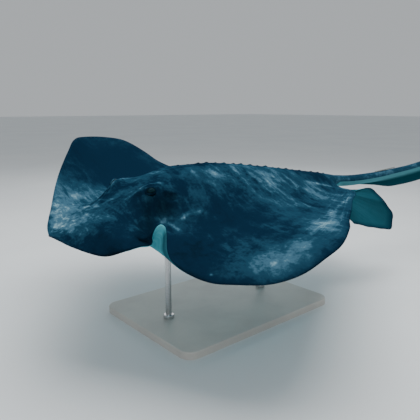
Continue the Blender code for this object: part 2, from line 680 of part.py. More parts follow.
def make_pelvic_fin(name, side, tips, collection):
    """A fan of skin from the root of the tail out to the tips of its rays, thinner at its fringed edge."""
    tip_path = smooth_path(tips)
    front, rear = (np.asarray(point) for point in PELVIC_ROOT)
    bm = bmesh.new()
    bmesh.ops.create_grid(bm, x_segments=PELVIC_RAYS, y_segments=PELVIC_STEPS, size=1)
    weights = []
    for vert in bm.verts:
        ray = (vert.co.x + 1) / 2
        out = (vert.co.y + 1) / 2
        root = front + (rear - front) * ray
        tip = along(tip_path, ray)
        fringe = 1 - PELVIC_FRINGE * (.5 - .5 * math.cos(ray * PELVIC_RAYS * math.pi)) * out
        point = root + (tip - root) * out * fringe
        bow = PELVIC_BOW * math.sin(math.pi * out) * math.sin(math.pi * ray)
        sag = PELVIC_SAG * math.sin(math.pi * out) * ray ** 3
        vert.co = to_world((side * (point[1] + bow), point[0], point[2] - sag))
        weights.append(1 - (1 - PELVIC_EDGE) * out ** 2)
    bmesh.ops.triangulate(bm, faces=bm.faces)
    fin = new_object(name, bm, collection)
    group = fin.vertex_groups.new(name="thickness")
    for index, weight in enumerate(weights):
        group.add([index], weight, "REPLACE")
    solid = fin.modifiers.new("thickness", "SOLIDIFY")
    solid.thickness = PELVIC_THICK
    solid.offset = 0
    solid.vertex_group = "thickness"
    apply_modifiers(fin)
    return fin


def make_eye(name, side, collection, radius=EYE_RADIUS):
    """An eyeball, or the slightly larger hollow that it sits in."""
    bm = bmesh.new()
    centre = to_world((side * EYE_CENTRE[0], EYE_CENTRE[1], EYE_CENTRE[2]))
    outward = Vector((side * EYE_OUTWARD[0], EYE_OUTWARD[1], EYE_OUTWARD[2]))
    matrix = Matrix.Translation(centre) @ outward.to_track_quat("Z", "Y").to_matrix().to_4x4()
    bmesh.ops.create_uvsphere(bm, u_segments=16, v_segments=10, radius=radius, matrix=matrix)
    return new_object(name, bm, collection)


def make_base(collection):
    """The flat base with rounded corners and softened edges."""
    bm = bmesh.new()
    bmesh.ops.create_cube(bm, size=1, matrix=Matrix.Diagonal((*BASE_SIZE, 1)))
    bmesh.ops.translate(bm, verts=bm.verts, vec=(0, 0, BASE_SIZE[2] / 2))
    upright = [edge for edge in bm.edges if abs(edge.verts[0].co.z - edge.verts[1].co.z) > BASE_SIZE[2] / 2]
    bmesh.ops.bevel(bm, geom=upright, offset=BASE_ROUND, segments=BASE_ROUND_STEPS, profile=.5,
                    affect="EDGES")
    rim = [edge for edge in bm.edges if min(vert.co.z for vert in edge.verts) > BASE_SIZE[2] - 1e-5
           and len(edge.link_faces) == 2 and edge.calc_face_angle(0) > 1]
    bmesh.ops.bevel(bm, geom=rim, offset=BASE_BEVEL, segments=BASE_BEVEL_STEPS, profile=.5, affect="EDGES")
    return new_object("stand_base", bm, collection)


def rod_mesh(name, s, low, high, radius, collection):
    """An upright round rod on the midline."""
    bm = bmesh.new()
    move = Matrix.Translation((0, SNOUT_Y + s, (low + high) / 2))
    bmesh.ops.create_cone(bm, cap_ends=True, segments=ROD_SIDES, radius1=radius, radius2=radius,
                          depth=high - low, matrix=move)
    return new_object(name, bm, collection)


def make_material(name, colour, roughness, metallic=0):
    """A plain finish."""
    material = bpy.data.materials.new(name)
    material.use_nodes = True
    shader = material.node_tree.nodes["Principled BSDF"]
    shader.inputs["Base Color"].default_value = (*colour, 1)
    shader.inputs["Roughness"].default_value = roughness
    shader.inputs["Metallic"].default_value = metallic
    return material


def new_collection(name):
    """A collection linked to the scene."""
    collection = bpy.data.collections.new(name)
    bpy.context.scene.collection.children.link(collection)
    return collection


def name_piece(obj, name):
    """Give an object and its mesh the name of its part."""
    obj.name = name
    obj.data.name = name


def make_body(model, raised, hollow, walls):
    """The disc and head as one skin with its details, parted into head, trunk and the two great fins."""
    body = tube_from_rings("body", body_rings(RINGS, SPOKES), model, SNOUT_TIP)
    find = skin_finder(body)
    add_head_forms(find, raised, hollow)
    add_tubercles(find, raised)
    combine(body, "UNION", raised)
    for name, s in ROD_S.items():
        foot, _ = find(0, s, from_above=False)
        rod_mesh("rod_hole", s, foot.z - .05, foot.z + ROD_SUNK + GAP, ROD_RADIUS + GAP, hollow)
        rod_mesh(name, s, BASE_SIZE[2] + GAP, foot.z + ROD_SUNK, ROD_RADIUS, model)
    combine(body, "DIFFERENCE", hollow)
    keep_largest(body)
    for side in (1, -1):
        thin_wall("wing_root", [(s, side * x) for s, x in WING_ROOT], walls)
    combine(body, "DIFFERENCE", walls)
    parts = split_up(body, 3, model)
    parts.sort(key=lambda part: middle_of(part).x)
    name_piece(parts[0], "pectoral_fin_right")
    name_piece(parts[2], "pectoral_fin_left")
    thin_wall("nape", [(NAPE_S, -.5), (NAPE_S, 0), (NAPE_S, .5)], walls)
    combine(parts[1], "DIFFERENCE", walls)
    halves = split_up(parts[1], 2, model)
    halves.sort(key=lambda part: middle_of(part).y)
    name_piece(halves[0], "head")
    name_piece(halves[1], "trunk")


def make_fins(model, walls):
    """The pelvic fins, cut clear of the body and of the tail that they grow from."""
    for name, side, tips in (("pelvic_fin_left", 1, PELVIC_LEFT), ("pelvic_fin_right", -1, PELVIC_RIGHT)):
        fin = make_pelvic_fin(name, side, tips, model)
        tube_from_rings("body_with_gap", body_rings(RINGS, SPOKES, GAP), walls, SNOUT_TIP)
        combine(fin, "DIFFERENCE", walls)
        keep_largest(fin)


def main():
    """Build every part of the model."""
    for obj in list(bpy.data.objects):
        bpy.data.objects.remove(obj)
    model = new_collection("stingray")
    raised = new_collection("raised_forms")
    hollow = new_collection("hollows")
    walls = new_collection("walls")
    make_body(model, raised, hollow, walls)
    make_fins(model, walls)
    make_tail(model)
    make_tail_fold(model)
    make_sting(model)
    make_eye("eye_left", 1, model)
    make_eye("eye_right", -1, model)
    make_base(model)
    skin = make_material("slate_skin", (.035, .075, .11), .45)
    eye = make_material("dark_eye", (.01, .01, .012), .12)
    bone = make_material("sting_bone", (.45, .42, .34), .4)
    painted = make_material("pale_base", (.55, .53, .49), .5)
    steel = make_material("steel", (.55, .56, .57), .25, 1)
    for obj in model.objects:
        finish = skin
        if obj.name.startswith("eye"):
            finish = eye
        elif obj.name == "sting":
            finish = bone
        elif obj.name == "stand_base":
            finish = painted
        elif obj.name.startswith("stand"):
            finish = steel
        obj.data.materials.clear()
        obj.data.materials.append(finish)


main()
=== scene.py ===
# %% [markdown]
# # A stingray over a display stand
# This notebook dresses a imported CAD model: a southern stingray, life-size and still, with one wing raised
# and its front margin rolled up. The solids are plain and parted by thin gaps. Real skin runs on without
# a seam, so one fine skin takes the place of all the flesh, and the eyes, the sting and the stand get
# finer pieces of their own. Everything is in metres, and +Z is up.

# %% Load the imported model
import json
import math
import random

import bpy
import numpy as np
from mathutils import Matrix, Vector
from mathutils.kdtree import KDTree

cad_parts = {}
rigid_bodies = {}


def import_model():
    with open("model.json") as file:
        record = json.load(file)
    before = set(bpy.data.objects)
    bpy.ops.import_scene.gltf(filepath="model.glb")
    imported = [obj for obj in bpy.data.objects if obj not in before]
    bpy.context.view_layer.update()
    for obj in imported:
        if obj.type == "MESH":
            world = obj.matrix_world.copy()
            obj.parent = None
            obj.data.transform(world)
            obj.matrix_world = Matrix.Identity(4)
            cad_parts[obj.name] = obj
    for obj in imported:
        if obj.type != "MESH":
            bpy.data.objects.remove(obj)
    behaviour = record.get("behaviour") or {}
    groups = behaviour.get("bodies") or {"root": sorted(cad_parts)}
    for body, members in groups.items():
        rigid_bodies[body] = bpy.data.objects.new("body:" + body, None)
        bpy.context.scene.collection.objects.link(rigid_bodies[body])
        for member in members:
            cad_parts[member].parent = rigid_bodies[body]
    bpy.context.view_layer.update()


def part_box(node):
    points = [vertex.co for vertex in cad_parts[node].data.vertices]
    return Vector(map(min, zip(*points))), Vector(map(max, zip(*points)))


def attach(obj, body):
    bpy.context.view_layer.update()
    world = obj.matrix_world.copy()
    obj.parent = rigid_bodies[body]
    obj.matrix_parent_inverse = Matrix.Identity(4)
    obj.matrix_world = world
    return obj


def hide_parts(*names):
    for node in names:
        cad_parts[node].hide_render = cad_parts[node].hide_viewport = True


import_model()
bpy.ops.object.select_all(action="DESELECT")

# %% [markdown]
# ## Camera, floor and light
# The picture is taken from in front of the animal's left side, a little above its back. The lens is
# the one whose view fits the animal's outline. The floor is plain and pale, and three large soft lamps
# stand for a studio's: one above, one beside the camera and one behind for the rim of the wings.

# %% Camera
CAMERA_PLACE = (.918, -.821, .5315)
CAMERA_TURN = (78, 0, 49.4)
LENS = 41.14

bpy.ops.object.camera_add(location=CAMERA_PLACE, rotation=[math.radians(angle) for angle in CAMERA_TURN])
camera = bpy.context.object
camera.data.lens = LENS
bpy.context.scene.camera = camera
print("camera lens:", camera.data.lens)

# %% Floor
FLOOR_SIZE = 60

bpy.ops.mesh.primitive_plane_add(size=FLOOR_SIZE)
floor = bpy.context.object
floor.name = "floor"
print("floor:", FLOOR_SIZE, "m wide")

# %% Lamps and sky
# Each lamp's name, place, size and power
LAMPS = [("lamp_above", (-.1, .2, 2.4), 2.0, 62), ("lamp_front", (1.9, -1.6, 1.5), 1.8, 12),
         ("lamp_behind", (-1.8, 1.6, 1.7), 1.6, 14)]
AIM = Vector((0, 0, .3))
SKY_COLOUR = (.78, .82, .85)
SKY_STRENGTH = .60

for name, place, size, power in LAMPS:
    aim = (AIM - Vector(place)).to_track_quat("-Z", "Y").to_euler()
    bpy.ops.object.light_add(type="AREA", location=place, rotation=aim)
    lamp = bpy.context.object
    lamp.name = name
    lamp.data.size = size
    lamp.data.energy = power
sky = bpy.data.worlds.new("studio")
sky.use_nodes = True
background = sky.node_tree.nodes["Background"]
background.inputs["Color"].default_value = (*SKY_COLOUR, 1)
background.inputs["Strength"].default_value = SKY_STRENGTH
bpy.context.scene.world = sky
print("lamps:", len(LAMPS))

# %% [markdown]
# ## The curves that shape the animal
# A ray is a thin fin all round with a body that swells out of its middle. Drawing it takes few curves:
# the margin from snout to tail on each side, the ribs that run from the midline to the margin, and the
# height of back and belly. The solids were made from the same curves, so the fine skin lies on them.
# Points of the animal are (x, s, h): x to its left, s back from the snout tip and h above it. The origin
# of the scene is under the middle of the stand, so the snout tip gets a place over it.

# %% Place over the stand
SNOUT_Y = -.46
SNOUT_Z = .28
# The very tip, as a point of the animal
SNOUT_TIP = (0, -.001, -.001)


def to_world(points):
    """Places over the stand of points of the animal."""
    return points + np.array([0, SNOUT_Y, SNOUT_Z])


def to_animal(places):
    """Points of the animal of places over the stand."""
    return places - np.array([0, SNOUT_Y, SNOUT_Z])


print("snout tip:", to_world(np.array(SNOUT_TIP)))

# %% [markdown]
# The margin of the disc runs from the snout round each wing to the tail. The left one dips and is rolled
# up beside the head, and the right one climbs, as that wing is raised. The ribs leave the midline at
# places of their own, lie flat near it and rise more steeply towards the margin.

# %% Margin and ribs
# The animal's left and right
SIDES = (1, -1)
# Points of the margin: s, distance from the midline, h
MARGIN_LEFT = [
    (0, 0, -.001), (.008, .03, -.006), (.02, .06, -.014), (.052, .13, -.023), (.074, .175, -.006),
    (.0920, .196, .0036), (.1060, .2065, .0059), (.1089, .209, .0118), (.1081, .21, .0212),
    (.1104, .2115, .0314), (.1156, .2135, .0407), (.1223, .217, .0449), (.1273, .223, .0406),
    (.1269, .228, .0281), (.1240, .232, .0101), (.1215, .237, -.0017), (.1220, .247, -.0160),
    (.133, .280, -.035), (.150, .325, -.044), (.175, .358, -.044), (.22, .40, -.042),
    (.27, .425, -.03), (.33, .432, -.010), (.40, .415, -.004), (.50, .366, .003), (.60, .30, -.006),
    (.70, .24, -.003), (.80, .178, 0), (.865, .145, .005), (.905, .11, .006), (.925, .07, .004),
    (.922, .042, .005), (.93, .029, .010), (.96, .0245, .0185)]
MARGIN_RIGHT = [
    (0, 0, 0), (.01, .032, .010), (.025, .06, .022), (.04, .083, .035), (.085, .16, .070),
    (.14, .25, .10), (.20, .33, .138), (.26, .42, .16), (.33, .50, .163), (.40, .50, .160),
    (.46, .475, .148), (.51, .44, .113), (.545, .405, .079), (.60, .36, .05), (.70, .27, .02),
    (.80, .19, .01), (.865, .145, .005), (.905, .11, .005), (.925, .07, .004), (.922, .042, .005),
    (.93, .029, .010), (.96, .0245, .0185)]
# Where the rib that reaches a point of the margin leaves the midline: share of the margin, s
RIB_ROOT = [(0, 0), (.2, .13), (.45, .37), (.7, .60), (.85, .74), (.95, .88), (1, .96)]
# Share of a rib that lies flat, and how steeply the rest rises
FLAT_RIB = .22
WING_RISE = 1.8
print("points of the margin:", len(MARGIN_LEFT), "left,", len(MARGIN_RIGHT), "right")

# %% [markdown]
# The left front margin is rolled up. The roll is a zone along the margin that curls by an angle. The angle
# is greatest a fifth of the way round, and farther back it turns into a slight droop.

# %% Roll of the left margin
# Share of the margin, degrees of curl
CURL = [(0, 0), (.155, 0), (.175, 16), (.19, 52), (.202, 70), (.215, 58), (.23, 30), (.245, 5), (.26, -4),
        (.30, -12), (.42, -20), (.55, -20), (.8, 0), (1, 0)]
# Width of the zone that curls
CURL_ZONE = .055
print("strongest curl:", max(degrees for _, degrees in CURL), "degrees")

# %% [markdown]
# On the midline the body is as thick as the curves of back and belly say. To the sides it falls away like
# a bell, whose width and squareness change from head to tail, and it fades out before the margin. There
# only the fin is left, thin and with a rounded edge. Over each eye stands a brow.

# %% Body
# On the midline: s, height of back and of belly over and under the middle
BACK = [(0, 0), (.05, .022), (.10, .042), (.154, .065), (.19, .080), (.24, .098), (.28, .109), (.33, .117),
        (.41, .117), (.495, .109), (.609, .094), (.7375, .0745), (.843, .058), (.911, .0465), (.96, .0373)]
BELLY = [(0, 0), (.1, .016), (.2, .03), (.35, .043), (.5, .046), (.65, .040), (.8, .026), (.9, .012),
         (.96, 0)]
# Across it: s, width of the bell, then s and how square it is
BODY_WIDTH = [(0, .15), (.08, .13), (.15, .100), (.20, .097), (.25, .115), (.30, .130), (.5, .135), (.7, .10),
              (.84, .065), (.92, .045), (.96, .04)]
BODY_POWER = [(0, 2.6), (.2, 2.6), (.3, 2.4), (.4, 2), (.96, 2)]
BELLY_SPREAD = 1.15
BELLY_POWER = 2.4
# Share of the body that is left at a distance from the margin, and how far in the fading starts
BODY_FADE = [(0, 0), (.02, .45), (.05, .85), (.09, 1), (1, 1)]
FADE_REACH = .09
print("body up to", round(max(high for _, high in BACK) + max(low for _, low in BELLY), 3), "m thick")

# %% Fin and brow
# Half the thickness at the margin, what it gains inwards, over what distance, and the edge's rounding
FIN_EDGE = .0022
FIN_GAIN = .010
FIN_GAIN_REACH = .35
FIN_NOSE = .006
# Place, height and size of the brow
BROW_S = .197
BROW_X = .069
BROW_HEIGHT = .030
BROW_LENGTH = .038
BROW_BREADTH = .028
print("fin from", 2 * FIN_EDGE, "to", round(2 * (FIN_EDGE + FIN_GAIN), 4), "m thick")

# %% [markdown]
# Between the values of a curve runs a smooth line that never overshoots them. A margin is a path through
# space, so it is measured by the share of its length: v is 0 at the snout and 1 at the root of the tail.
# Along a rib, r is 0 at the midline and 1 at the margin.

# %% Smooth curve
def hermite(t, start, end, leave, arrive):
    """Point at t between two points of a curve that leaves one and arrives at the other with slopes."""
    return (start * (2 * t**3 - 3 * t**2 + 1) + leave * (t**3 - 2 * t**2 + t)
            + end * (3 * t**2 - 2 * t**3) + arrive * (t**3 - t**2))


def spline(keys, x):
    """Value at x of a smooth curve through (x, value, ...) keys that never overshoots them."""
    keys = np.asarray(keys, float)
    knots, values = keys[:, 0], keys[:, 1:]
    x = np.clip(np.asarray(x, float), knots[0], knots[-1])
    step = np.diff(knots)
    rate = np.diff(values, axis=0) / step[:, None]
    slope = np.zeros_like(values)
    slope[0], slope[-1] = rate[0], rate[-1]
    for i in range(1, len(knots) - 1):
        before, after = rate[i - 1], rate[i]
        weight_a = 2 * step[i] + step[i - 1]
        weight_b = step[i] + 2 * step[i - 1]
        turns = before * after <= 0
        mean = (weight_a + weight_b) / (weight_a / np.where(turns, 1, before)
                                        + weight_b / np.where(turns, 1, after))
        slope[i] = np.where(turns, 0, mean)
    i = np.clip(np.searchsorted(knots, x, side="right") - 1, 0, len(knots) - 2)
    width = step[i][..., None]
    t = (x[..., None] - knots[i][..., None]) / width
    result = hermite(t, values[i], values[i + 1], slope[i] * width, slope[i + 1] * width)
    return result[..., 0] if values.shape[1] == 1 else result


def ease(low, high, x):
    """0 below low and 1 above high, with a smooth step between."""
    t = np.clip((np.asarray(x, float) - low) / (high - low), 0, 1)
    return t * t * (3 - 2 * t)


# %% Smooth path
PATH_STEPS = 64


def smooth_path(points, per_span=16):
    """A smooth curve through points, as its length fractions and its many points."""
    points = np.asarray(points, float)
    knots = np.concatenate([[0], np.cumsum(np.linalg.norm(np.diff(points, axis=0), axis=1) ** .5)])
    step = np.diff(knots)[:, None]
    rate = np.diff(points, axis=0) / step
    inner = (rate[:-1] * step[1:] + rate[1:] * step[:-1]) / (step[1:] + step[:-1])
    slope = np.vstack([rate[:1], inner, rate[-1:]])
    spans = []
    for i in range(len(points) - 1):
        t = np.linspace(0, 1, per_span, endpoint=False)[:, None]
        spans.append(hermite(t, points[i], points[i + 1], slope[i] * step[i], slope[i + 1] * step[i]))
    curve = np.vstack(spans + [points[-1:]])
    length = np.concatenate([[0], np.cumsum(np.linalg.norm(np.diff(curve, axis=0), axis=1))])
    return length / length[-1], curve


def along(path, fraction):
    """Point of a smooth path at a fraction of its length."""
    fractions, curve = path
    return np.stack([np.interp(fraction, fractions, curve[:, k]) for k in range(curve.shape[1])], axis=-1)


MARGINS = {1: smooth_path(MARGIN_LEFT, PATH_STEPS), -1: smooth_path(MARGIN_RIGHT, PATH_STEPS)}
for side, (_, curve) in MARGINS.items():
    length = float(np.linalg.norm(np.diff(curve, axis=0), axis=1).sum())
    print("margin", side, "is", round(length, 3), "m long")

# %% [markdown]
# The skin is found in three steps. First comes the middle sheet of the fin, which the ribs sweep out, and
# which rolls up along the left front margin. Then the fin's thickness goes on along the sheet's normal,
# thin at the margin and thick inside. Last, the body swells straight up and down, with a brow over
# each eye. Doing it by formula keeps every later step exact, because any point can be found again
# from its v and r.

# %% Middle sheet of the fin
# Step over which a direction is measured, the least curl, and a guard against dividing by nothing
NUDGE = 1e-3
CURL_STILL = 1e-3
TINY = 1e-9


def curl_of(side, v, reach):
    """How far a rolled margin draws back and rises, for a reach into the rolled zone."""
    degrees = spline(CURL, v) if side > 0 else 0 * np.asarray(v, float)
    turn = np.radians(degrees)
    turn = np.where(np.abs(turn) < CURL_STILL, CURL_STILL, turn)
    back = CURL_ZONE / turn * np.sin(turn * reach / CURL_ZONE) - reach
    rise = CURL_ZONE / turn * (1 - np.cos(turn * reach / CURL_ZONE))
    return back, rise


def middle_sheet(side, v, r):
    """Middle of the disc's thickness at v of the margin and r of the rib, and the rib's length."""
    margin = along(MARGINS[side], v)
    root = spline(RIB_ROOT, v)
    span = np.hypot(margin[..., 0] - root, margin[..., 1])
    out_s = (margin[..., 0] - root) / np.maximum(span, TINY)
    out_x = margin[..., 1] / np.maximum(span, TINY)
    back, rise = curl_of(side, v, CURL_ZONE + 0 * v)
    span = span - back
    reach = np.clip(CURL_ZONE - (1 - r) * span, 0, None)
    drawn, lifted = curl_of(side, v, reach)
    s = root + span * r * out_s + drawn * out_s
    x = span * r * out_x + drawn * out_x
    bend = np.clip((r - FLAT_RIB) / (1 - FLAT_RIB), 0, None) ** WING_RISE
    h = (margin[..., 2] - rise) * bend + lifted
    return np.stack([side * x, s, h], axis=-1), span


# %% Swell of the body
def body_swell(s, x):
    """How far the body stands above and below the middle sheet, and the brow over the eye."""
    width = spline(BODY_WIDTH, s)
    across = np.abs(x)
    above = spline(BACK, s) * np.exp(-(across / width) ** spline(BODY_POWER, s))
    below = spline(BELLY, s) * np.exp(-(across / (width * BELLY_SPREAD)) ** BELLY_POWER)
    brow = BROW_HEIGHT * np.exp(-((s - BROW_S) / BROW_LENGTH) ** 2 - ((across - BROW_X) / BROW_BREADTH) ** 2)
    return above, below, brow


# %% Upper and lower face
UP = np.array([0, 0, 1.0])
# Guards against dividing by nothing
LEAST_NORMAL = 1e-12
LEAST_HEIGHT = 1e-6


def half_skin(side, v, r, face):
    """Skin of one side of the disc: the upper face where face is positive and else the lower."""
    sheet, span = middle_sheet(side, v, r)
    v_less, v_more = np.clip(v - NUDGE, 0, 1), np.clip(v + NUDGE, 0, 1)
    r_less, r_more = np.clip(r - NUDGE, 0, 1), np.clip(r + NUDGE, 0, 1)
    ahead = middle_sheet(side, v_more, r)[0] - middle_sheet(side, v_less, r)[0]
    outward = middle_sheet(side, v, r_more)[0] - middle_sheet(side, v, r_less)[0]
    normal = np.cross(outward, ahead) * side
    normal = normal / np.maximum(np.linalg.norm(normal, axis=-1, keepdims=True), LEAST_NORMAL)
    edge = (1 - r) * span
    nose = np.sqrt(np.clip(1 - (1 - np.clip(edge / FIN_NOSE, 0, 1)) ** 2, 0, 1))
    fin = (FIN_EDGE + FIN_GAIN * np.clip(edge / FIN_GAIN_REACH, 0, 1)) * nose
    fin_middle = FIN_EDGE + FIN_GAIN * np.clip(span / FIN_GAIN_REACH, 0, 1)
    above, below, brow = body_swell(sheet[..., 1], sheet[..., 0])
    fade = spline(BODY_FADE, edge * FADE_REACH / np.minimum(span, FADE_REACH))
    ratio_above = np.clip(1 - fin_middle / np.maximum(spline(BACK, sheet[..., 1]), LEAST_HEIGHT), 0, 1)
    ratio_below = np.clip(1 - fin_middle / np.maximum(spline(BELLY, sheet[..., 1]), LEAST_HEIGHT), 0, 1)
    top = sheet + normal * fin[..., None] + UP * ((above * ratio_above + brow) * fade)[..., None]
    bottom = sheet - normal * fin[..., None] - UP * (below * ratio_below * fade)[..., None]
    return np.where((face > 0)[..., None], top, bottom)


# %% [markdown]
# The tail follows a path of its own, whose points also carry its half width and half height. At each
# point three directions, ahead, sideways and upward, tell how a ring of the tail stands there.

# %% Tail by formula
# Tail: s, x, h of its top, half width, half height
TAIL = [(.96, 0, .0373, .0245, .0187), (1.06, 0, .0285, .0205, .0175), (1.188, .018, .0305, .0168, .0165),
        (1.26, .036, .0372, .0152, .0150), (1.325, .060, .0470, .0140, .0140),
        (1.373, .082, .0580, .0130, .0135), (1.50, .135, .0800, .0105, .0110),
        (1.70, .195, .0980, .0068, .0070), (1.95, .215, .1030, .0038, .0040),
        (2.20, .190, .0900, .0016, .0016)]
TAIL_PATH = smooth_path(TAIL, PATH_STEPS)
QUARTER = math.pi / 2


def tail_frame(fraction):
    """Middle, half sizes, and the sideways and upward directions along the tail."""
    fraction = np.asarray(fraction, float)
    keys = along(TAIL_PATH, fraction)
    before, after = np.clip(fraction - NUDGE, 0, 1), np.clip(fraction + NUDGE, 0, 1)
    ahead = along(TAIL_PATH, after) - along(TAIL_PATH, before)
    ahead = np.stack([ahead[..., 1], ahead[..., 0], ahead[..., 2] - ahead[..., 4]], axis=-1)
    ahead = np.where((fraction < NUDGE)[..., None], np.array([0, 1.0, 0]), ahead)
    ahead /= np.linalg.norm(ahead, axis=-1, keepdims=True)
    sideways = np.cross(ahead, UP)
    sideways /= np.linalg.norm(sideways, axis=-1, keepdims=True)
    middle = np.stack([keys[..., 1], keys[..., 0], keys[..., 2] - keys[..., 4]], axis=-1)
    return middle, keys[..., 3], keys[..., 4], sideways, np.cross(sideways, ahead), ahead


def tail_root(side, r, face):
    """The ring where body and tail meet."""
    middle, half_width, half_height, sideways, upward, _ = tail_frame(0.0)
    angle = np.where(face > 0, r, 2 - r) * QUARTER
    wide = side * half_width * np.sin(angle)
    high = half_height * np.cos(angle)
    return middle + sideways * wide[..., None] + upward * high[..., None]


# %% [markdown]
# The body has to run into the tail without a step. Over its last rings each point moves towards the
# place that it has on the tail's first ring, by a share that grows smoothly to one.

# %% Body that runs into the tail
MELT_FROM = .93


def body_skin(v, q, face):
    """Points of the body's skin. q is r, negative on the animal's right."""
    result = np.zeros(v.shape + (3,))
    for side in SIDES:
        here = q >= 0 if side > 0 else q < 0
        v_here, r_here, face_here = v[here], np.abs(q[here]), face[here]
        skin = half_skin(side, v_here, r_here, face_here)
        last = half_skin(side, np.ones_like(v_here), r_here, face_here)
        share = ease(MELT_FROM, 1, v_here)
        result[here] = skin + (tail_root(side, r_here, face_here) - last) * share[:, None]
    result[v <= 0] = SNOUT_TIP
    return result


# %% [markdown]
# ## The skin of body and disc
# The mesh starts as a UV sphere, whose rings and spokes fit an animal that is closed at the snout and
# open to the tail. Each vertex is told its v, r and face, which are kept in the mesh as the attributes
# "rib", "reach" and "face", and is then moved to its place on the skin. The last pole is taken off for
# the tail. Rings and spokes lie closer together at the head, on the roll and along the margin.

# %% Rings and spokes
RINGS = 236
SPOKES = 240
CROWD_STEPS = 2000
# Where they crowd: the centres, by how much, and how far to each side
CROWDED_RINGS = [(.20, 1.2, .15), (.20, 1.1, .04)]
CROWDED_SPOKES = [(.35, .5, .22), (1.0, 1.6, .10), (.12, .5, .10)]


def crowded(count, crowds):
    """Fractions from 0 to 1 that lie closer together round some centres."""
    fine = np.linspace(0, 1, CROWD_STEPS)
    density = np.ones_like(fine)
    for centre, amount, reach in crowds:
        density += amount * np.exp(-((fine - centre) / reach) ** 2)
    total = np.concatenate([[0], np.cumsum((density[1:] + density[:-1]) / 2)])
    return np.interp(np.linspace(0, 1, count), total / total[-1], fine)


RING_SHARES = crowded(RINGS + 1, CROWDED_RINGS)
SPOKE_SHARES = crowded(SPOKES // 4 + 1, CROWDED_SPOKES)
print("closest rings:", round(float(np.diff(RING_SHARES).min()), 5), "of the margin apart")

# %% Numbers and places of vertices
def new_values(obj, name, values):
    """Keep one number for each vertex of a mesh."""
    attribute = obj.data.attributes.get(name) or obj.data.attributes.new(name, "FLOAT", "POINT")
    attribute.data.foreach_set("value", np.asarray(values, np.float32))


def values_of(obj, name):
    """The numbers kept for the vertices of a mesh."""
    values = np.zeros(len(obj.data.vertices), np.float32)
    obj.data.attributes[name].data.foreach_get("value", values)
    return values.astype(float)


def places_of(obj):
    """Places of the vertices of a mesh."""
    places = np.zeros(len(obj.data.vertices) * 3)
    obj.data.vertices.foreach_get("co", places)
    return places.reshape(-1, 3)


def set_places(obj, places):
    """Move the vertices of a mesh."""
    obj.data.vertices.foreach_set("co", places.ravel())
    obj.data.update()


def edit_vertices(obj, chosen):
    """Go into edit mode with only the chosen vertices selected."""
    bpy.ops.object.mode_set(mode="EDIT")
    bpy.ops.mesh.select_mode(type="VERT")
    bpy.ops.mesh.select_all(action="DESELECT")
    bpy.ops.object.mode_set(mode="OBJECT")
    obj.data.vertices.foreach_set("select", chosen)
    bpy.ops.object.mode_set(mode="EDIT")


# %% Sphere to body
bpy.ops.mesh.primitive_uv_sphere_add(segments=SPOKES, ring_count=RINGS + 1, radius=1)
skin = bpy.context.object
skin.name = "skin"
ball = places_of(skin)
ring = np.rint(np.arccos(np.clip(ball[:, 2], -1, 1)) / math.pi * (RINGS + 1)).astype(int)
spoke = np.rint(-np.arctan2(ball[:, 1], ball[:, 0]) / (2 * math.pi) * SPOKES).astype(int) % SPOKES
quarter = SPOKES // 4
turn_of = np.minimum(spoke, SPOKES - spoke)
from_midline = np.where(turn_of <= quarter, turn_of, 2 * quarter - turn_of)
reach = SPOKE_SHARES[from_midline]
right = (spoke > 2 * quarter) & (from_midline > 0)
at_margin = from_midline == quarter
new_values(skin, "rib", np.where(ring <= RINGS, RING_SHARES[np.minimum(ring, RINGS)], 1))
new_values(skin, "reach", np.where(ring == 0, 0, np.where(right, -reach, reach)))
new_values(skin, "face", np.where((ring == 0) | (turn_of < quarter), 1, np.where(at_margin, 0, -1)))
set_places(skin, to_world(body_skin(*(values_of(skin, name) for name in ("rib", "reach", "face")))))

edit_vertices(skin, ring > RINGS)
bpy.ops.mesh.delete(type="VERT")
bpy.ops.object.mode_set(mode="OBJECT")
print("body:", len(skin.data.vertices), "vertices")

# %% [markdown]
# ## The tail and its fold
# The tail is a tube that narrows to a whip. Under it hangs a thin fold of skin. The tube is a grid rolled
# up: its rows run round the tail and its columns along it. The lowest spokes are drawn together and
# pulled down for the fold, so that tail and fold are one skin with no joint.

# %% Spokes of the tail
TAIL_SPOKES = 60
# Spokes on each side of the lowest one that are gathered for the fold, and how round their wall is
STRIP = 7
WALL_ROUND = 3
WALL_SHARE = .75

tail_quarter = TAIL_SPOKES // 4
spokes = np.arange(TAIL_SPOKES)
turns = np.minimum(spokes, TAIL_SPOKES - spokes)
underneath = turns > tail_quarter
steps = np.where(underneath, 2 * tail_quarter - turns, turns)
tail_shares = SPOKE_SHARES[::SPOKES // TAIL_SPOKES][steps]
tail_side = np.where(spokes > TAIL_SPOKES // 2, -1, 1)
tail_face = np.where(underneath, -1, np.where(turns == tail_quarter, 0, 1))
deep = np.clip(1 - steps / STRIP, 0, 1)
past = np.clip((steps - STRIP) / (tail_quarter - STRIP), 0, 1)
wall_share = WALL_SHARE * np.sqrt(1 - deep**WALL_ROUND) + (1 - WALL_SHARE) * (1 - deep)
print("spokes in the fold:", int((underneath & (deep > 0)).sum()))

# %% One ring of the tail
# Fraction of the tail's length, height of the low keel on top or depth of the fold underneath
KEEL = [(0, 0), (.30, 0), (.36, .003), (.60, .003), (.70, 0), (1, 0)]
FOLD = [(.115, .001), (.17, .012), (.24, .034), (.32, .038), (.40, .034), (.52, .020), (.62, .001)]
FOLD_HALF_THICK = .0016
# How quickly the fold starts and ends
FOLD_RISE = .006
# Where the lowest spokes come together, and the most of the tail's width that they take
STRIP_FROM = (.02, .10)
STRIP_SHARE = .45
KEEL_ANGLE = math.radians(40)
# For the finish: from which spokes and from what depth the skin counts as fold
HANG_FROM = (.02, .25)
HANG_DEPTH = .004


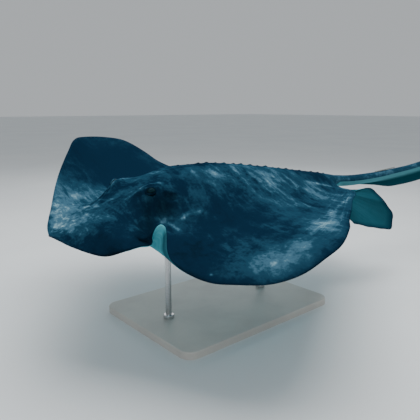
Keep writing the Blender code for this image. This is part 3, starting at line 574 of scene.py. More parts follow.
def fold_at(fraction):
    """How deep the fold hangs, and how far the lowest spokes have come together."""
    inside = ease(FOLD[0][0] - FOLD_RISE, FOLD[0][0], fraction)
    inside = inside * ease(FOLD[-1][0] + FOLD_RISE, FOLD[-1][0], fraction)
    return float(spline(FOLD, fraction) * inside), float(ease(*STRIP_FROM, fraction))


def tail_loop(fraction):
    """One ring of the tail: its points, and how much each belongs to the fold."""
    middle, half_width, half_height, sideways, upward, _ = tail_frame(fraction)
    depth, gathered = fold_at(fraction)
    half_fold = min(FOLD_HALF_THICK, STRIP_SHARE * float(half_width))
    edge_angle = math.asin(half_fold / float(half_width))
    strip_angle = np.where(steps < STRIP, np.arcsin(half_fold * wall_share / float(half_width)),
                           edge_angle + (QUARTER - edge_angle) * past)
    angle = tail_shares * QUARTER
    angle = np.where(underneath, angle + (strip_angle - angle) * gathered, angle)
    keel = float(spline(KEEL, fraction)) * np.clip(1 - angle / KEEL_ANGLE, 0, 1) ** 2 * ~underneath
    wide = tail_side * half_width * np.sin(angle)
    high = np.where(underneath, -1, 1) * half_height * np.cos(angle) + keel
    high = high - np.where(underneath, deep, 0) * depth
    points = middle + sideways * wide[:, None] + upward * high[:, None]
    return points, np.where(underneath, ease(*HANG_FROM, deep) * min(depth / HANG_DEPTH, 1), 0)


# %% Grid to tail
TAIL_RINGS = 262
TAIL_FIRST = .003
MERGE_DISTANCE = 1e-6

bpy.ops.mesh.primitive_grid_add(x_subdivisions=TAIL_SPOKES, y_subdivisions=TAIL_RINGS - 1, size=2)
tail = bpy.context.object
tail.name = "tail"
flat = places_of(tail)
column = np.rint((flat[:, 0] + 1) / 2 * TAIL_SPOKES).astype(int) % TAIL_SPOKES
row = np.rint((flat[:, 1] + 1) / 2 * (TAIL_RINGS - 1)).astype(int)
fractions = TAIL_FIRST + (1 - TAIL_FIRST) * np.arange(TAIL_RINGS) / (TAIL_RINGS - 1)
points, hangings = (np.array(part) for part in zip(*(tail_loop(fraction) for fraction in fractions)))
points[-1] = points[-1].mean(axis=0)
set_places(tail, to_world(points[row, column]))
new_values(tail, "rib", 1 + fractions[row])
new_values(tail, "reach", (tail_side * tail_shares)[column])
new_values(tail, "face", tail_face[column])
new_values(tail, "fold", hangings[row, column])
bpy.ops.object.mode_set(mode="EDIT")
bpy.ops.mesh.select_all(action="SELECT")
bpy.ops.mesh.remove_doubles(threshold=MERGE_DISTANCE)
bpy.ops.object.mode_set(mode="OBJECT")
print("tail:", len(tail.data.vertices), "vertices")

# %% [markdown]
# Body and tail are joined into one object, and the two open rings are bridged. The body's ring has four
# vertices for each one of the tail's, which a bridge fills with a neat row of triangles.

# %% Join body and tail
def select_open_edges():
    """In edit mode, select the edges that don't lie between two faces."""
    bpy.ops.mesh.select_mode(type="EDGE")
    bpy.ops.mesh.select_all(action="DESELECT")
    bpy.ops.mesh.select_non_manifold()


bpy.ops.object.select_all(action="DESELECT")
tail.select_set(True)
skin.select_set(True)
bpy.context.view_layer.objects.active = skin
bpy.ops.object.join()
bpy.ops.object.mode_set(mode="EDIT")
select_open_edges()
bpy.ops.mesh.bridge_edge_loops()
bpy.ops.mesh.select_all(action="SELECT")
bpy.ops.mesh.normals_make_consistent(inside=False)
select_open_edges()
bpy.ops.object.mode_set(mode="OBJECT")
open_edges = sum(edge.select for edge in skin.data.edges)
print("one skin:", len(skin.data.vertices), "vertices,", open_edges, "open edges")

# %% [markdown]
# Where the margin rolls up beside the head, the formula leaves a sharp valley between the two, and the
# real skin runs through it softly. The vertices in an oval round the valley are smoothed, but not those
# of the roll itself.

# %% Soften the valley beside the head
# Middle of the oval, half width and half length
VALLEY = (.128, .110, .062, .030)
VALLEY_REACH = .80
VALLEY_PASSES = 60


def oval_distance(x, s, oval, degrees=0):
    """Distance from the middle of an oval, 1 on its edge. The oval: x, s, half width, half length."""
    turn = math.radians(degrees)
    across, back = x - oval[0], s - oval[1]
    return np.hypot((across * math.cos(turn) + back * math.sin(turn)) / oval[2],
                    (back * math.cos(turn) - across * math.sin(turn)) / oval[3])


points = to_animal(places_of(skin))
in_valley = oval_distance(points[:, 0], points[:, 1], VALLEY) < 1
in_valley &= (values_of(skin, "face") > 0) & (values_of(skin, "reach") < VALLEY_REACH)
in_valley &= values_of(skin, "rib") < 1
edit_vertices(skin, in_valley)
bpy.ops.mesh.vertices_smooth(factor=.5, repeat=VALLEY_PASSES)
bpy.ops.object.mode_set(mode="OBJECT")
print("smoothed", int(in_valley.sum()), "vertices of the valley")

# %% [markdown]
# ## Finer mesh where the small forms are
# Eyelids, spiracles, mouth, nostrils, gills and thorns need a finer mesh than a wing does. Only the faces
# near them are subdivided. The attributes are subdivided too, so each new vertex knows its v, r and
# face, and the formula puts it exactly on the curved skin.

# %% Places of eyes, spiracles, mouth and nose
EYE_RADIUS = .0120
EYE_CENTRE = (.0725, .1965, .0760)
EYE_OUTWARD = (.80, -.22, .55)
EYE_AXIS = np.array(EYE_OUTWARD) / np.linalg.norm(EYE_OUTWARD)
SPIRACLE_PLACE = (.088, .238)
MOUTH_S = .172
NASAL_FLAP_S = .150


def mirrored(point, side):
    """A point of the animal on its left or right."""
    return np.array([side * point[0], point[1], point[2]])


print("left eye:", to_world(mirrored(EYE_CENTRE, 1)))

# %% Places of thorns and gills
THORNS = 20
THORN_RUN = (.325, .900)
THORN_LOSS = .35
# How far a thorn may stand from the row's line, to the side and along it
THORN_SHIFT = (.0012, .003)
# The head's solid ends at the nape, and no thorn stands on that cut
NAPE_S = .372
NAPE_CLEAR = .0085
RANDOM_SEED = 7
GILLS = 5
GILL_FIRST = (.102, .2535)
GILL_LAST = (.073, .351)

thorn_draw = random.Random(RANDOM_SEED)
thorns = []
for number in range(THORNS):
    share = number / (THORNS - 1)
    s = THORN_RUN[0] + share * (THORN_RUN[1] - THORN_RUN[0])
    s += thorn_draw.uniform(-THORN_SHIFT[1], THORN_SHIFT[1])
    if abs(s - NAPE_S) < NAPE_CLEAR:
        s = NAPE_S + NAPE_CLEAR
    thorns.append((thorn_draw.uniform(-THORN_SHIFT[0], THORN_SHIFT[0]), s, 1 - THORN_LOSS * share))
gills = []
for side in SIDES:
    for number in range(GILLS):
        share = number / (GILLS - 1)
        gills.append((side, GILL_FIRST[0] + share * (GILL_LAST[0] - GILL_FIRST[0]),
                      GILL_FIRST[1] + share * (GILL_LAST[1] - GILL_FIRST[1])))
print("thorns:", len(thorns), "gills:", len(gills))

# %% Subdivide near them
# How far round each form the mesh is finer
MARK_EYE = .027
MARK_SPIRACLE = (.020, .030)
MARK_THORN = .0085
MARK_MOUTH = (.047, .014)
MARK_NOSE = (.042, .016)
MARK_GILL = (.016, .009)
CUTS = 3


def near_forms(x, s, h, face):
    """Which points are close to a small form."""
    upper, lower = face > 0, face < 0
    fine = np.zeros(len(x), bool)
    for side in SIDES:
        eye = mirrored(EYE_CENTRE, side)
        fine |= upper & (np.sqrt((x - eye[0]) ** 2 + (s - eye[1]) ** 2 + (h - eye[2]) ** 2) < MARK_EYE)
        fine |= upper & (oval_distance(side * x, s, (*SPIRACLE_PLACE, *MARK_SPIRACLE)) < 1)
    for x_thorn, s_thorn, size in thorns:
        fine |= upper & (np.hypot(x - x_thorn, s - s_thorn) < MARK_THORN)
    fine |= lower & (np.abs(x) < MARK_MOUTH[0]) & (np.abs(s - MOUTH_S) < MARK_MOUTH[1])
    fine |= lower & (np.abs(x) < MARK_NOSE[0]) & (np.abs(s - NASAL_FLAP_S) < MARK_NOSE[1])
    for side, x_gill, s_gill in gills:
        fine |= lower & (np.abs(x - side * x_gill) < MARK_GILL[0]) & (np.abs(s - s_gill) < MARK_GILL[1])
    return fine


def refine(obj, cuts):
    """Subdivide the faces near the small forms and put the new vertices on the skin."""
    chosen = near_forms(*to_animal(places_of(obj)).T, values_of(obj, "face"))
    chosen &= values_of(obj, "rib") < 1
    bpy.ops.object.mode_set(mode="EDIT")
    bpy.ops.mesh.select_mode(type="FACE")
    bpy.ops.mesh.select_all(action="DESELECT")
    bpy.ops.object.mode_set(mode="OBJECT")
    for polygon in obj.data.polygons:
        polygon.select = all(chosen[index] for index in polygon.vertices)
    kept = len(obj.data.vertices)
    bpy.ops.object.mode_set(mode="EDIT")
    bpy.ops.mesh.subdivide(number_cuts=cuts, quadcorner="INNERVERT")
    bpy.ops.object.mode_set(mode="OBJECT")
    v, q, face = values_of(obj, "rib"), values_of(obj, "reach"), values_of(obj, "face")
    body = (v <= 1) & (np.arange(len(v)) >= kept)
    places = places_of(obj)
    places[body] = to_world(body_skin(v[body], q[body], face[body]))
    set_places(obj, places)
    return int(chosen.sum())


near = refine(skin, CUTS)
print("refined near", near, "vertices, now", len(skin.data.vertices))

# %% [markdown]
# ## Sculpting by rule
# With a fine mesh in place, the small forms are pushed out of the skin or into it along its normals, as a
# sculptor would with a brush. Each stroke is a short rule of the distance from its place. Each rule also
# leaves a mark in the attribute "dark": painted shade, which the finish puts in the openings, in the hollows
# and along the lids.

# %% Brush strokes
def bell(distance, width):
    """1 at no distance, falling away smoothly over a width."""
    return np.exp(-(distance / width) ** 2)


def normals_of(obj):
    """Normals of the vertices of a mesh."""
    normals = np.zeros(len(obj.data.vertices) * 3)
    obj.data.vertex_normals.foreach_get("vector", normals)
    return normals.reshape(-1, 3)


animal = to_animal(places_of(skin))
x, s, h = animal.T
rib, reach, face = values_of(skin, "rib"), values_of(skin, "reach"), values_of(skin, "face")
normals = normals_of(skin)
on_body = rib <= 1
upper, lower = on_body & (face > 0), on_body & (face < 0)
push = np.zeros(len(x))
dark = np.zeros(len(x))

# %% [markdown]
# The rods of gristle in the great fins show through the skin as faint ridges that run out along the ribs.
# They are the sum of a few waves with different spacings, so no two are alike.

# %% Ridges of the fins
# Waves: how many round the margin, height, and how they drift along a rib
RIDGES = [(58, .00022, 1.3), (83, .00018, -2.1), (37, .00025, .7), (121, .00008, 3.0)]
# Where the ridges grow in and die out: along a rib, and round the margin
RIDGE_REACH = [(.22, .45), (1, .9)]
RIDGE_RIB = [(.22, .32), (.93, .85)]
RIGHT_SHARE = .3

ridge = sum(amount * np.sin(2 * math.pi * (count * rib + drift * reach)) for count, amount, drift in RIDGES)
on_fin = 1.0
for limits in RIDGE_REACH:
    on_fin = on_fin * ease(*limits, np.abs(reach))
for limits in RIDGE_RIB:
    on_fin = on_fin * ease(*limits, rib)
push += np.where(upper, ridge * on_fin * np.where(x < 0, RIGHT_SHARE, 1), 0)
print("ridges up to", round(float(np.abs(push).max()) * 1000, 2), "mm")

# %% [markdown]
# Low crests mark the head: one over each eye from the snout to the nape, and one along the left shoulder.
# Each is a stroke along a smooth line drawn through a few points of the back. A stroke raises the skin
# and is kept for the finish too, which paints a highlight along the crest.

# %% Crests
BROW_CREST = [(.040, .140), (.045, .165), (.062, .184), (.073, .201), (.064, .235), (.074, .280)]
SHOULDER_CREST = [(.126, .190), (.133, .212), (.131, .239), (.135, .264), (.150, .292)]
# Each crest: its line, side, half width, height, and how strong its painted highlight is
CRESTS = [(BROW_CREST, 1, .0035, .0011, 1), (BROW_CREST, -1, .0035, .0011, 1),
          (SHOULDER_CREST, 1, .0030, .0010, .35)]
CREST_ENDS = (.15, .8)
STROKE_POINTS = 12


def stroke(line, across, back):
    """Distance from a smooth line drawn through points, and the share of its length there."""
    shares, curve = smooth_path(line, STROKE_POINTS)
    distance, share = np.full(len(across), np.inf), np.zeros(len(across))
    for start, end, first, last in zip(curve[:-1], curve[1:], shares[:-1], shares[1:]):
        run = end - start
        t = np.clip(((across - start[0]) * run[0] + (back - start[1]) * run[1]) / (run @ run), 0, 1)
        away = np.hypot(across - start[0] - t * run[0], back - start[1] - t * run[1])
        share = np.where(away < distance, first + t * (last - first), share)
        distance = np.minimum(distance, away)
    return distance, share


# Where a highlight is painted along the crests
crest_highlight = np.zeros(len(x))
for line, side, width, height, pale in CRESTS:
    distance, share = stroke(line, side * x, s)
    form = bell(distance, width) * ease(0, CREST_ENDS[0], share) * ease(1, CREST_ENDS[1], share)
    form = np.where(upper, form, 0)
    push += height * form
    crest_highlight = np.maximum(crest_highlight, form * pale)
print("crests reach", int((crest_highlight > .1).sum()), "vertices")

# %% [markdown]
# Behind each eye lies a spiracle, the hole through which a resting ray breathes. It is an oval hollow with
# a soft rim.

# %% Spiracles
SPIRACLE_OVAL = (.0095, .0185)
SPIRACLE_TURN = -12
SPIRACLE_DEPTH = .0055
SPIRACLE_BOWL = .8
# The rim: height, distance from the middle and width, both in ovals
SPIRACLE_RIM = (.0004, 1.25, .25)
# The shade inside: strength, where it starts and where it is full
SPIRACLE_SHADE = (.6, 1.15, .55)

oval = oval_distance(np.abs(x), s, (*SPIRACLE_PLACE, *SPIRACLE_OVAL), SPIRACLE_TURN)
push += np.where(upper, -SPIRACLE_DEPTH * np.clip(1 - oval**2, 0, 1) ** SPIRACLE_BOWL
                 + SPIRACLE_RIM[0] * bell(oval - SPIRACLE_RIM[1], SPIRACLE_RIM[2]), 0)
dark = np.maximum(dark, np.where(upper, SPIRACLE_SHADE[0] * ease(*SPIRACLE_SHADE[1:], oval), 0))
print("spiracles:", int((upper & (oval < 1)).sum()), "vertices")

# %% [markdown]
# The hollows of the head get painted shade: the one between eye and spiracle, and the valley beside the
# head, where two strokes follow the foot of the roll. A small part behind the eye stays clear.

# %% Painted shade in the hollows
# Painted shade beside each eye: x, s, half width, half length, strength. The clear part has the same five
# numbers.
HOLLOW_SHADE = (.098, .212, .022, .034, .70)
HOLLOW_SHADE_CLEAR = (.078, .194, .0085, .024, .85)
# Strokes of painted shade: points, half width, strength
HOLLOW_SHADE_LINES = [([(.086, .180), (.104, .171), (.122, .160), (.150, .138), (.192, .110)], .014, .56),
              ([(.115, .148), (.132, .143), (.155, .120), (.179, .107), (.205, .106)], .017, .45)]


def soft_spot(x_spot, s_spot, half_wide, half_long, strength):
    """A soft spot on both sides of the back."""
    return strength * bell(np.abs(x) - x_spot, half_wide) * bell(s - s_spot, half_long)


hollow_shade = soft_spot(*HOLLOW_SHADE)
for line, width, strength in HOLLOW_SHADE_LINES:
    hollow_shade = np.maximum(hollow_shade, strength * bell(stroke(line, x, s)[0], width))
hollow_shade = hollow_shade * (1 - soft_spot(*HOLLOW_SHADE_CLEAR))
dark = np.maximum(dark, np.where(upper, hollow_shade, 0))
print("dusky:", int((dark > .1).sum()), "vertices")

# %% [markdown]
# On the underside are the mouth with its two lips, a nostril at each end of the nasal flap, whose rear
# edge is finely fringed, and five gill slits a side, each under the edge of its own flap.

# %% Mouth
MOUTH_HALF = .040
MOUTH_BOW = -.007
# Where the mouth ends, in half widths: the groove dies out from the second to the first
MOUTH_ENDS = (1.05, .82)
# The groove: depth and width. The lips: height, distance from the groove and width
MOUTH_GROOVE = (.0045, .0016)
LIP_FORM = (.0022, .0046, .0022)

along_mouth = np.abs(x) / MOUTH_HALF
from_line = s - MOUTH_S - MOUTH_BOW * (1 - along_mouth**2)
held = np.where(lower, ease(*MOUTH_ENDS, along_mouth), 0)
push += held * (LIP_FORM[0] * bell(np.abs(from_line) - LIP_FORM[1], LIP_FORM[2])
                - MOUTH_GROOVE[0] * bell(from_line, MOUTH_GROOVE[1]))
# Painted shade in the mouth's groove
dark = np.maximum(dark, held * bell(from_line, MOUTH_GROOVE[1]))
print("mouth:", int((held > 0).sum()), "vertices across its width")

# %% Nostrils and nasal flap
NASAL_FLAP_HALF = .024
FLAP_RISE = .0028
FLAP_FRONT = (.1395, .149)
FLAP_REAR = .1592
FLAP_DROP = (.0012, .0006)
FLAP_BOW = .004
FLAP_SIDES = (1.15, .85)
# The fringe: depth and length of its waves. Its shade: strength, distance behind it and width
FRINGE = (.0005, .0034)
FRINGE_SHADE = (.5, .0012, .001)
NOSTRIL_PLACE = (.030, .146)
NOSTRIL_OVAL = (.0080, .0036)
NOSTRIL_SLANT = -35
NOSTRIL_DEPTH = .0050
NOSTRIL_SHADE = (1, .6)

fringe = FLAP_REAR + FRINGE[0] * np.sin(2 * math.pi * x / FRINGE[1])
fringe = fringe - FLAP_BOW * (x / NASAL_FLAP_HALF) ** 2
flap = ease(*FLAP_FRONT, s) * ease(fringe + FLAP_DROP[1], fringe - FLAP_DROP[0], s)
flap = flap * ease(NASAL_FLAP_HALF * FLAP_SIDES[0], NASAL_FLAP_HALF * FLAP_SIDES[1], np.abs(x))
oval = oval_distance(np.abs(x), s, (*NOSTRIL_PLACE, *NOSTRIL_OVAL), NOSTRIL_SLANT)
push += np.where(lower, FLAP_RISE * flap - NOSTRIL_DEPTH * np.clip(1 - oval**2, 0, 1), 0)
dark = np.maximum(dark, np.where(lower, ease(*NOSTRIL_SHADE, oval), 0))
shade = FRINGE_SHADE[0] * bell(s - fringe - FRINGE_SHADE[1], FRINGE_SHADE[2])
dark = np.maximum(dark, np.where(lower, shade * (np.abs(x) < NASAL_FLAP_HALF), 0))
print("nasal flap:", int((lower & (flap > 0)).sum()), "vertices")

# %% Gills
GILL_HALF = .013
GILL_BOW = .004
GILL_ENDS = (1.08, .75)
# The groove: depth and width. The flap's edge in front of it: height, distance and width
GILL_GROOVE = (.0034, .0011)
GILL_LIP = (.0017, -.0026, .0019)

for side, x_gill, s_gill in gills:
    across = (side * x - x_gill) / GILL_HALF
    from_slit = s - s_gill - GILL_BOW * (1 - across**2)
    held = np.where(lower, ease(*GILL_ENDS, np.abs(across)), 0)
    push += held * (GILL_LIP[0] * bell(from_slit - GILL_LIP[1], GILL_LIP[2])
                    - GILL_GROOVE[0] * bell(from_slit, GILL_GROOVE[1]))
    # Painted shade in the groove of each gill slit
    dark = np.maximum(dark, held * bell(from_slit, GILL_GROOVE[1]))
print("pushed", int((np.abs(push) > 1e-4).sum()), "vertices by more than 0.1 mm")

# %% [markdown]
# The thorns of the back are blunt, lean towards the tail and shrink along the row. Each is a small cone
# with a soft foot, raised out of the skin rather than stuck on it.

# %% Thorns
# Foot and height of a whole thorn, how blunt its tip is, and how its sides curve
THORN_FOOT = .0078
THORN_TALL = .0041
THORN_TIP = .22
THORN_POWER = 1.15
# How far its size may stray from the row's, and how it leans
THORN_SPREAD = .50
THORN_LEAN = .45

thorn_push = np.zeros_like(animal)
thorn_mark = np.zeros(len(x))
for x_thorn, s_thorn, size in thorns:
    size *= thorn_draw.uniform(1 - THORN_SPREAD, 1 + THORN_SPREAD)
    away = np.hypot(x - x_thorn, s - s_thorn) / (THORN_FOOT * size)
    cone = np.clip(1 - np.sqrt(away**2 + THORN_TIP**2), 0, 1) ** THORN_POWER
    cone = np.where(upper & (away < 1), cone, 0)
    lean = normals + np.array([0, THORN_LEAN, 0])
    lean /= np.linalg.norm(lean, axis=1, keepdims=True)
    thorn_push += lean * (cone * THORN_TALL * size)[:, None]
    thorn_mark = np.maximum(thorn_mark, cone)
shaped = animal + normals * push[:, None] + thorn_push
print("thorns on", int((thorn_mark > 0).sum()), "vertices")

# %% [markdown]
# The skin closes round each eye as two lids. Seen from the middle of the eyeball, every nearby point of
# the skin has a direction, told in degrees from the way the eye looks. Points in the opening are drawn in
# behind the ball, points round it stand just proud of the ball, and farther out, past a shallow crease,
# they ease back into the head. The opening is a long oval, so the degrees are stretched to fit it.

# %% Lids by formula
# Degrees between which the skin comes out from behind the ball, and between which it joins the head
LID_OPEN = (32, 41)
LID_BLEND = (48, 95)
# How far the skin stands off the ball, and its rim: height, degrees, width
LID_PROFILE = (.0006, .0016, 48, 9)
# The crease: depth, degrees, width
LID_CREASE = (.0007, 66, 8)
# How much longer and how much lower than round the opening is
LID_SHAPE = (1.85, .72)
BEHIND_BALL = .88


def lid_angles(from_eye, axis):
    """Degrees of points from the axis of an eye, in the stretched round of its opening."""
    lengthwise = np.array([0, 1.0, 0]) - axis[1] * axis
    lengthwise /= np.linalg.norm(lengthwise)
    upright = np.cross(axis, lengthwise)
    wide, tall = from_eye @ lengthwise / LID_SHAPE[0], from_eye @ upright / LID_SHAPE[1]
    return np.degrees(np.arctan2(np.hypot(wide, tall), from_eye @ axis))


def lid_distances(angle, distance):
    """How far from the middle of the ball the skin lies at an angle."""
    lid = EYE_RADIUS + LID_PROFILE[0] + LID_PROFILE[1] * bell(angle - LID_PROFILE[2], LID_PROFILE[3])
    lid = BEHIND_BALL * EYE_RADIUS + (lid - BEHIND_BALL * EYE_RADIUS) * ease(*LID_OPEN, angle)
    lid = lid - LID_CREASE[0] * bell(angle - LID_CREASE[1], LID_CREASE[2])
    return lid + (distance - lid) * ease(*LID_BLEND, angle)


# %% Eyelids
LID_REACH = .032
# Painted shade along the lids' edge, where they tuck behind the ball: strength, outer and inner degrees
# The shade in the crease: strength, degrees, width
LID_EDGE_SHADE = (.60, 46, 41)
CREASE_SHADE = (.22, 66, 6)

for side in SIDES:
    centre = mirrored(EYE_CENTRE, side)
    from_eye = shaped - centre
    distance = np.linalg.norm(from_eye, axis=1)
    angle = lid_angles(from_eye, mirrored(EYE_AXIS, side))
    here = upper & (distance < LID_REACH) & (angle < LID_BLEND[1])
    scale = np.where(here, lid_distances(angle, distance) / np.maximum(distance, TINY), 1)
    shaped = np.where(here[:, None], centre + from_eye * scale[:, None], shaped)
    # Painted shade along the lids' edge and in their crease
    line = np.maximum(LID_EDGE_SHADE[0] * ease(*LID_EDGE_SHADE[1:], angle),
                      CREASE_SHADE[0] * bell(angle - CREASE_SHADE[1], CREASE_SHADE[2]))
    dark = np.maximum(dark, np.where(here, line, 0))
set_places(skin, to_world(shaped))
print("eyelids shaped round", len(SIDES), "eyes")

# %% [markdown]
# ## Where the back is pale, and where highlights are painted
# The back is dark and cloudy. The clouds are noise in the finish, but where they gather belongs to this
# animal: a pale snout, a pale arc round the left wing, dark smooth patches on both wings. A few soft
# ovals and lines say so. Other lines and one small oval are painted highlights, on both brows, the left
# lower lid, behind the roll and on the left shoulder, and one line is painted light over the shaded
# crevice between the head and the right wing. Their sum is kept in the attribute "tone". A second
# attribute, "wisp", says how strongly the clouds and streaks show.

# %% Pale and dark ovals
# Ovals: x, s, half width, half length, turn in degrees, change of tone
OVALS = [
    (-.03, .045, .100, .045, 10, .28), (-.13, .10, .12, .050, 40, .22), (-.36, .33, .15, .20, 0, -.14),
    (.14, .060, .060, .040, 25, -.14), (.060, .165, .030, .040, 0, -.10), (.24, .160, .11, .062, 0, -.17),
    (.19, .335, .085, .085, 0, -.12), (.352, .248, .055, .055, 0, .20), (.330, .450, .040, .080, -28, .17),
    (.10, .610, .11, .15, 0, .17), (.055, .385, .014, .016, 0, .24), (.085, .655, .020, .010, 20, .26),
    (.025, .850, .035, .075, 0, -.16), (.016, .38, .014, .09, 0, -.18), (.17, .555, .035, .025, 0, .14),
    (.03, .13, .022, .018, 0, .04), (.05, .48, .06, .16, 0, .08), (.315, .159, .0024, .0020, 0, .28),
    (-.010, .112, .012, .006, 20, .22), (.004, .134, .006, .012, 0, .20), (-.020, .135, .012, .014, 0, .12),
    # The first oval of the next line is a painted highlight on the left shoulder crest
    (.132, .239, .0040, .0034, 0, .34), (.088, .125, .022, .022, 0, -.13),
    (.100, .143, .006, .004, 0, .16), (.080, .108, .005, .004, 0, .14), (.128, .112, .008, .004, 0, .14),
    (.122, .131, .006, .003, 0, .14), (.262, .375, .032, .045, 0, .10), (.128, .350, .022, .030, 0, .14),
    (.130, .800, .090, .080, 0, .14), (-.005, .255, .030, .035, 0, .12)]
print("ovals:", len(OVALS))

# %% Pale lines and painted highlights
# Pale marks and painted highlights, as lines: points, half width, change of tone
PALE_AND_HIGHLIGHT_LINES = [
    ([(.36, .20), (.385, .28), (.355, .40), (.315, .51), (.262, .615), (.225, .690)], .030, .16),
    ([(.315, .520), (.325, .495), (.345, .470)], .02, .12),
    ([(.285, .530), (.273, .554), (.229, .644), (.186, .742), (.150, .835)], .0055, .20),
    ([(.062, .725), (.066, .760), (.067, .800), (.070, .860), (.078, .900)], .0046, .34),
    # Painted highlight along the contour of the right brow
    ([(-.020, .090), (-.024, .112), (-.040, .141), (-.055, .160), (-.066, .178), (-.071, .189), (-.055, .199),
      (-.049, .222), (-.045, .250)], .0042, .20),
    # Painted light over the shaded crevice between the head and the right wing
    ([(-.030, .088), (-.046, .108), (-.064, .132), (-.076, .155), (-.088, .180), (-.095, .205)], .011, .30),
    ([(-.150, .112), (-.170, .145), (-.182, .172), (-.192, .205), (-.206, .235), (-.225, .265)], .022, .20),
    # Painted highlight on the left lower lid
    ([(.069, .172), (.077, .179), (.082, .186), (.083, .195), (.082, .204), (.079, .214)], .0044, .22),
    # Painted highlight along the left brow over the eye
    ([(.046, .166), (.048, .178), (.054, .188), (.055, .199), (.055, .211), (.054, .229),
      (.053, .250)], .0055, .34),
    # Painted highlight in an arc behind the roll
    ([(.122, .184), (.119, .196), (.123, .204), (.134, .207), (.147, .209), (.158, .214)], .0034, .26),
    # Painted highlight on a small fold between eye and roll
    ([(.104, .180), (.111, .190), (.116, .212), (.127, .224)], .0018, .28),
    # Painted highlight along the left shoulder crest
    ([(.131, .228), (.132, .240), (.131, .259), (.134, .270), (.143, .282), (.154, .294)], .0030, .20)]
LINE_ENDS = (.12, .88)
print("lines:", len(PALE_AND_HIGHLIGHT_LINES))

# %% [markdown]
# The back has one tone to start with, and the tail another, which fades in between the pelvic fins. The
# ovals and lines change it, the edge of the left wing is a little darker, and the crests and the rim of
# the roll get painted highlights. Pale skin also shows its clouds and streaks more strongly.

# %% Tone of the back
TONE = .34
TAIL_TONE = .47
TAIL_FADE = (.83, .92)
# Painted highlight on the rim of the roll: share of the margin, its width, where on the rib it starts, change
LIP_RIM_HIGHLIGHT = (.205, .022, .93, .22)
# The left edge: where on the rib it starts and ends, change of tone, and where on the margin it dies out
EDGE_SHADE = (.93, 1.0, -.10)
EDGE_SHADE_END = (.74, .66)
# How strong the painted highlight along the crests is
CREST_HIGHLIGHT = .26

tone = np.full(len(x), TONE)
for *oval, turn, change in OVALS:
    tone += change * bell(oval_distance(x, s, oval, -turn), 1)
for line, width, change in PALE_AND_HIGHLIGHT_LINES:
    distance, share = stroke(line, x, s)
    tone += change * bell(distance, width) * ease(0, LINE_ENDS[0], share) * ease(1, LINE_ENDS[1], share)
tone += EDGE_SHADE[2] * ease(*EDGE_SHADE[:2], np.abs(reach)) * (x > 0) * ease(*EDGE_SHADE_END, rib)
tone += CREST_HIGHLIGHT * crest_highlight
tone += LIP_RIM_HIGHLIGHT[3] * bell(rib - LIP_RIM_HIGHLIGHT[0], LIP_RIM_HIGHLIGHT[1]) * ease(LIP_RIM_HIGHLIGHT[2], 1, reach) * (face >= 0)
tone += (TAIL_TONE - tone) * ease(*TAIL_FADE, s)
print("tone from", round(float(tone.min()), 2), "to", round(float(tone.max()), 2))

# %% Clouds and streaks
# Between two tones the wisp rises from one value to another, and it never passes the most
WISP = (.20, .60, .25, 1.0)
WISP_MOST = 1.1
# Where clouds show more or less: x, s, half width, half length, change of wisp
CLOUDY = [(0, .12, .13, .10, .45), (.05, .42, .09, .14, .30), (.28, .22, .08, .06, .25),
          (-.33, .40, .16, .16, -.20)]

wisp = np.interp(tone, WISP[:2], WISP[2:])
for *oval, change in CLOUDY:
    wisp += change * bell(oval_distance(x, s, oval), 1)
marks = {"tone": tone, "wisp": np.minimum(wisp, WISP_MOST), "dark": dark, "thorn": thorn_mark}
for name, values in marks.items():
    new_values(skin, name, values)
print("wisp from", round(float(wisp.min()), 2))

# %% [markdown]
# ## Pelvic fins
# Two smaller fans of skin leave the body just before the tail. Each is a grid spread between its root and
# the tips of its rays, given a thickness that thins towards the fringed edge. They are united with the
# skin, so the whole animal is one closed surface.

# %% Places of the pelvic fins
# Front and rear of the root, then the tip of each ray from front to rear: s, distance from the midline, h
PELVIC_ROOT = [(.862, .036, -.002), (.938, .014, .006)]
PELVIC_LEFT = [(.893, .127, -.092), (.9445, .146, -.1075), (.9943, .160, -.1185), (1.0475, .165, -.1262),
               (1.0660, .160, -.1015), (1.0665, .155, -.0790), (1.0555, .148, -.0590), (1.0430, .140, -.0420),
               (1.0345, .120, -.0190), (1.0155, .100, .0016), (.9935, .085, -.0024), (.9755, .075, -.0070)]
PELVIC_RIGHT = [(.935, .125, -.034), (.985, .158, -.040), (1.035, .150, -.036), (1.050, .120, -.026),
                (1.040, .092, -.016), (1.022, .074, -.006), (.995, .062, .002), (.968, .050, .006)]
PELVIC_RAYS = 14
# Thickness at the root, what share of it is left at the fringe, and depth of the fringe
PELVIC_THICK = .0030
PELVIC_EDGE = .45
PELVIC_FRINGE = .015
# How far the fan bows out and sags between its root and tips
PELVIC_BOW = .010
PELVIC_SAG = .012
print("rays in a pelvic fin:", PELVIC_RAYS)

# %% Pelvic fins
FIN_ROWS = 26
RAY_COLUMNS = 6
RAY_RIDGE = .0005


def apply_modifier(obj, kind, **settings):
    """Put a modifier with its settings on the active object and apply it."""
    modifier = obj.modifiers.new(kind.lower(), kind)
    for name, value in settings.items():
        setattr(modifier, name, value)
    bpy.ops.object.modifier_apply(modifier=modifier.name)


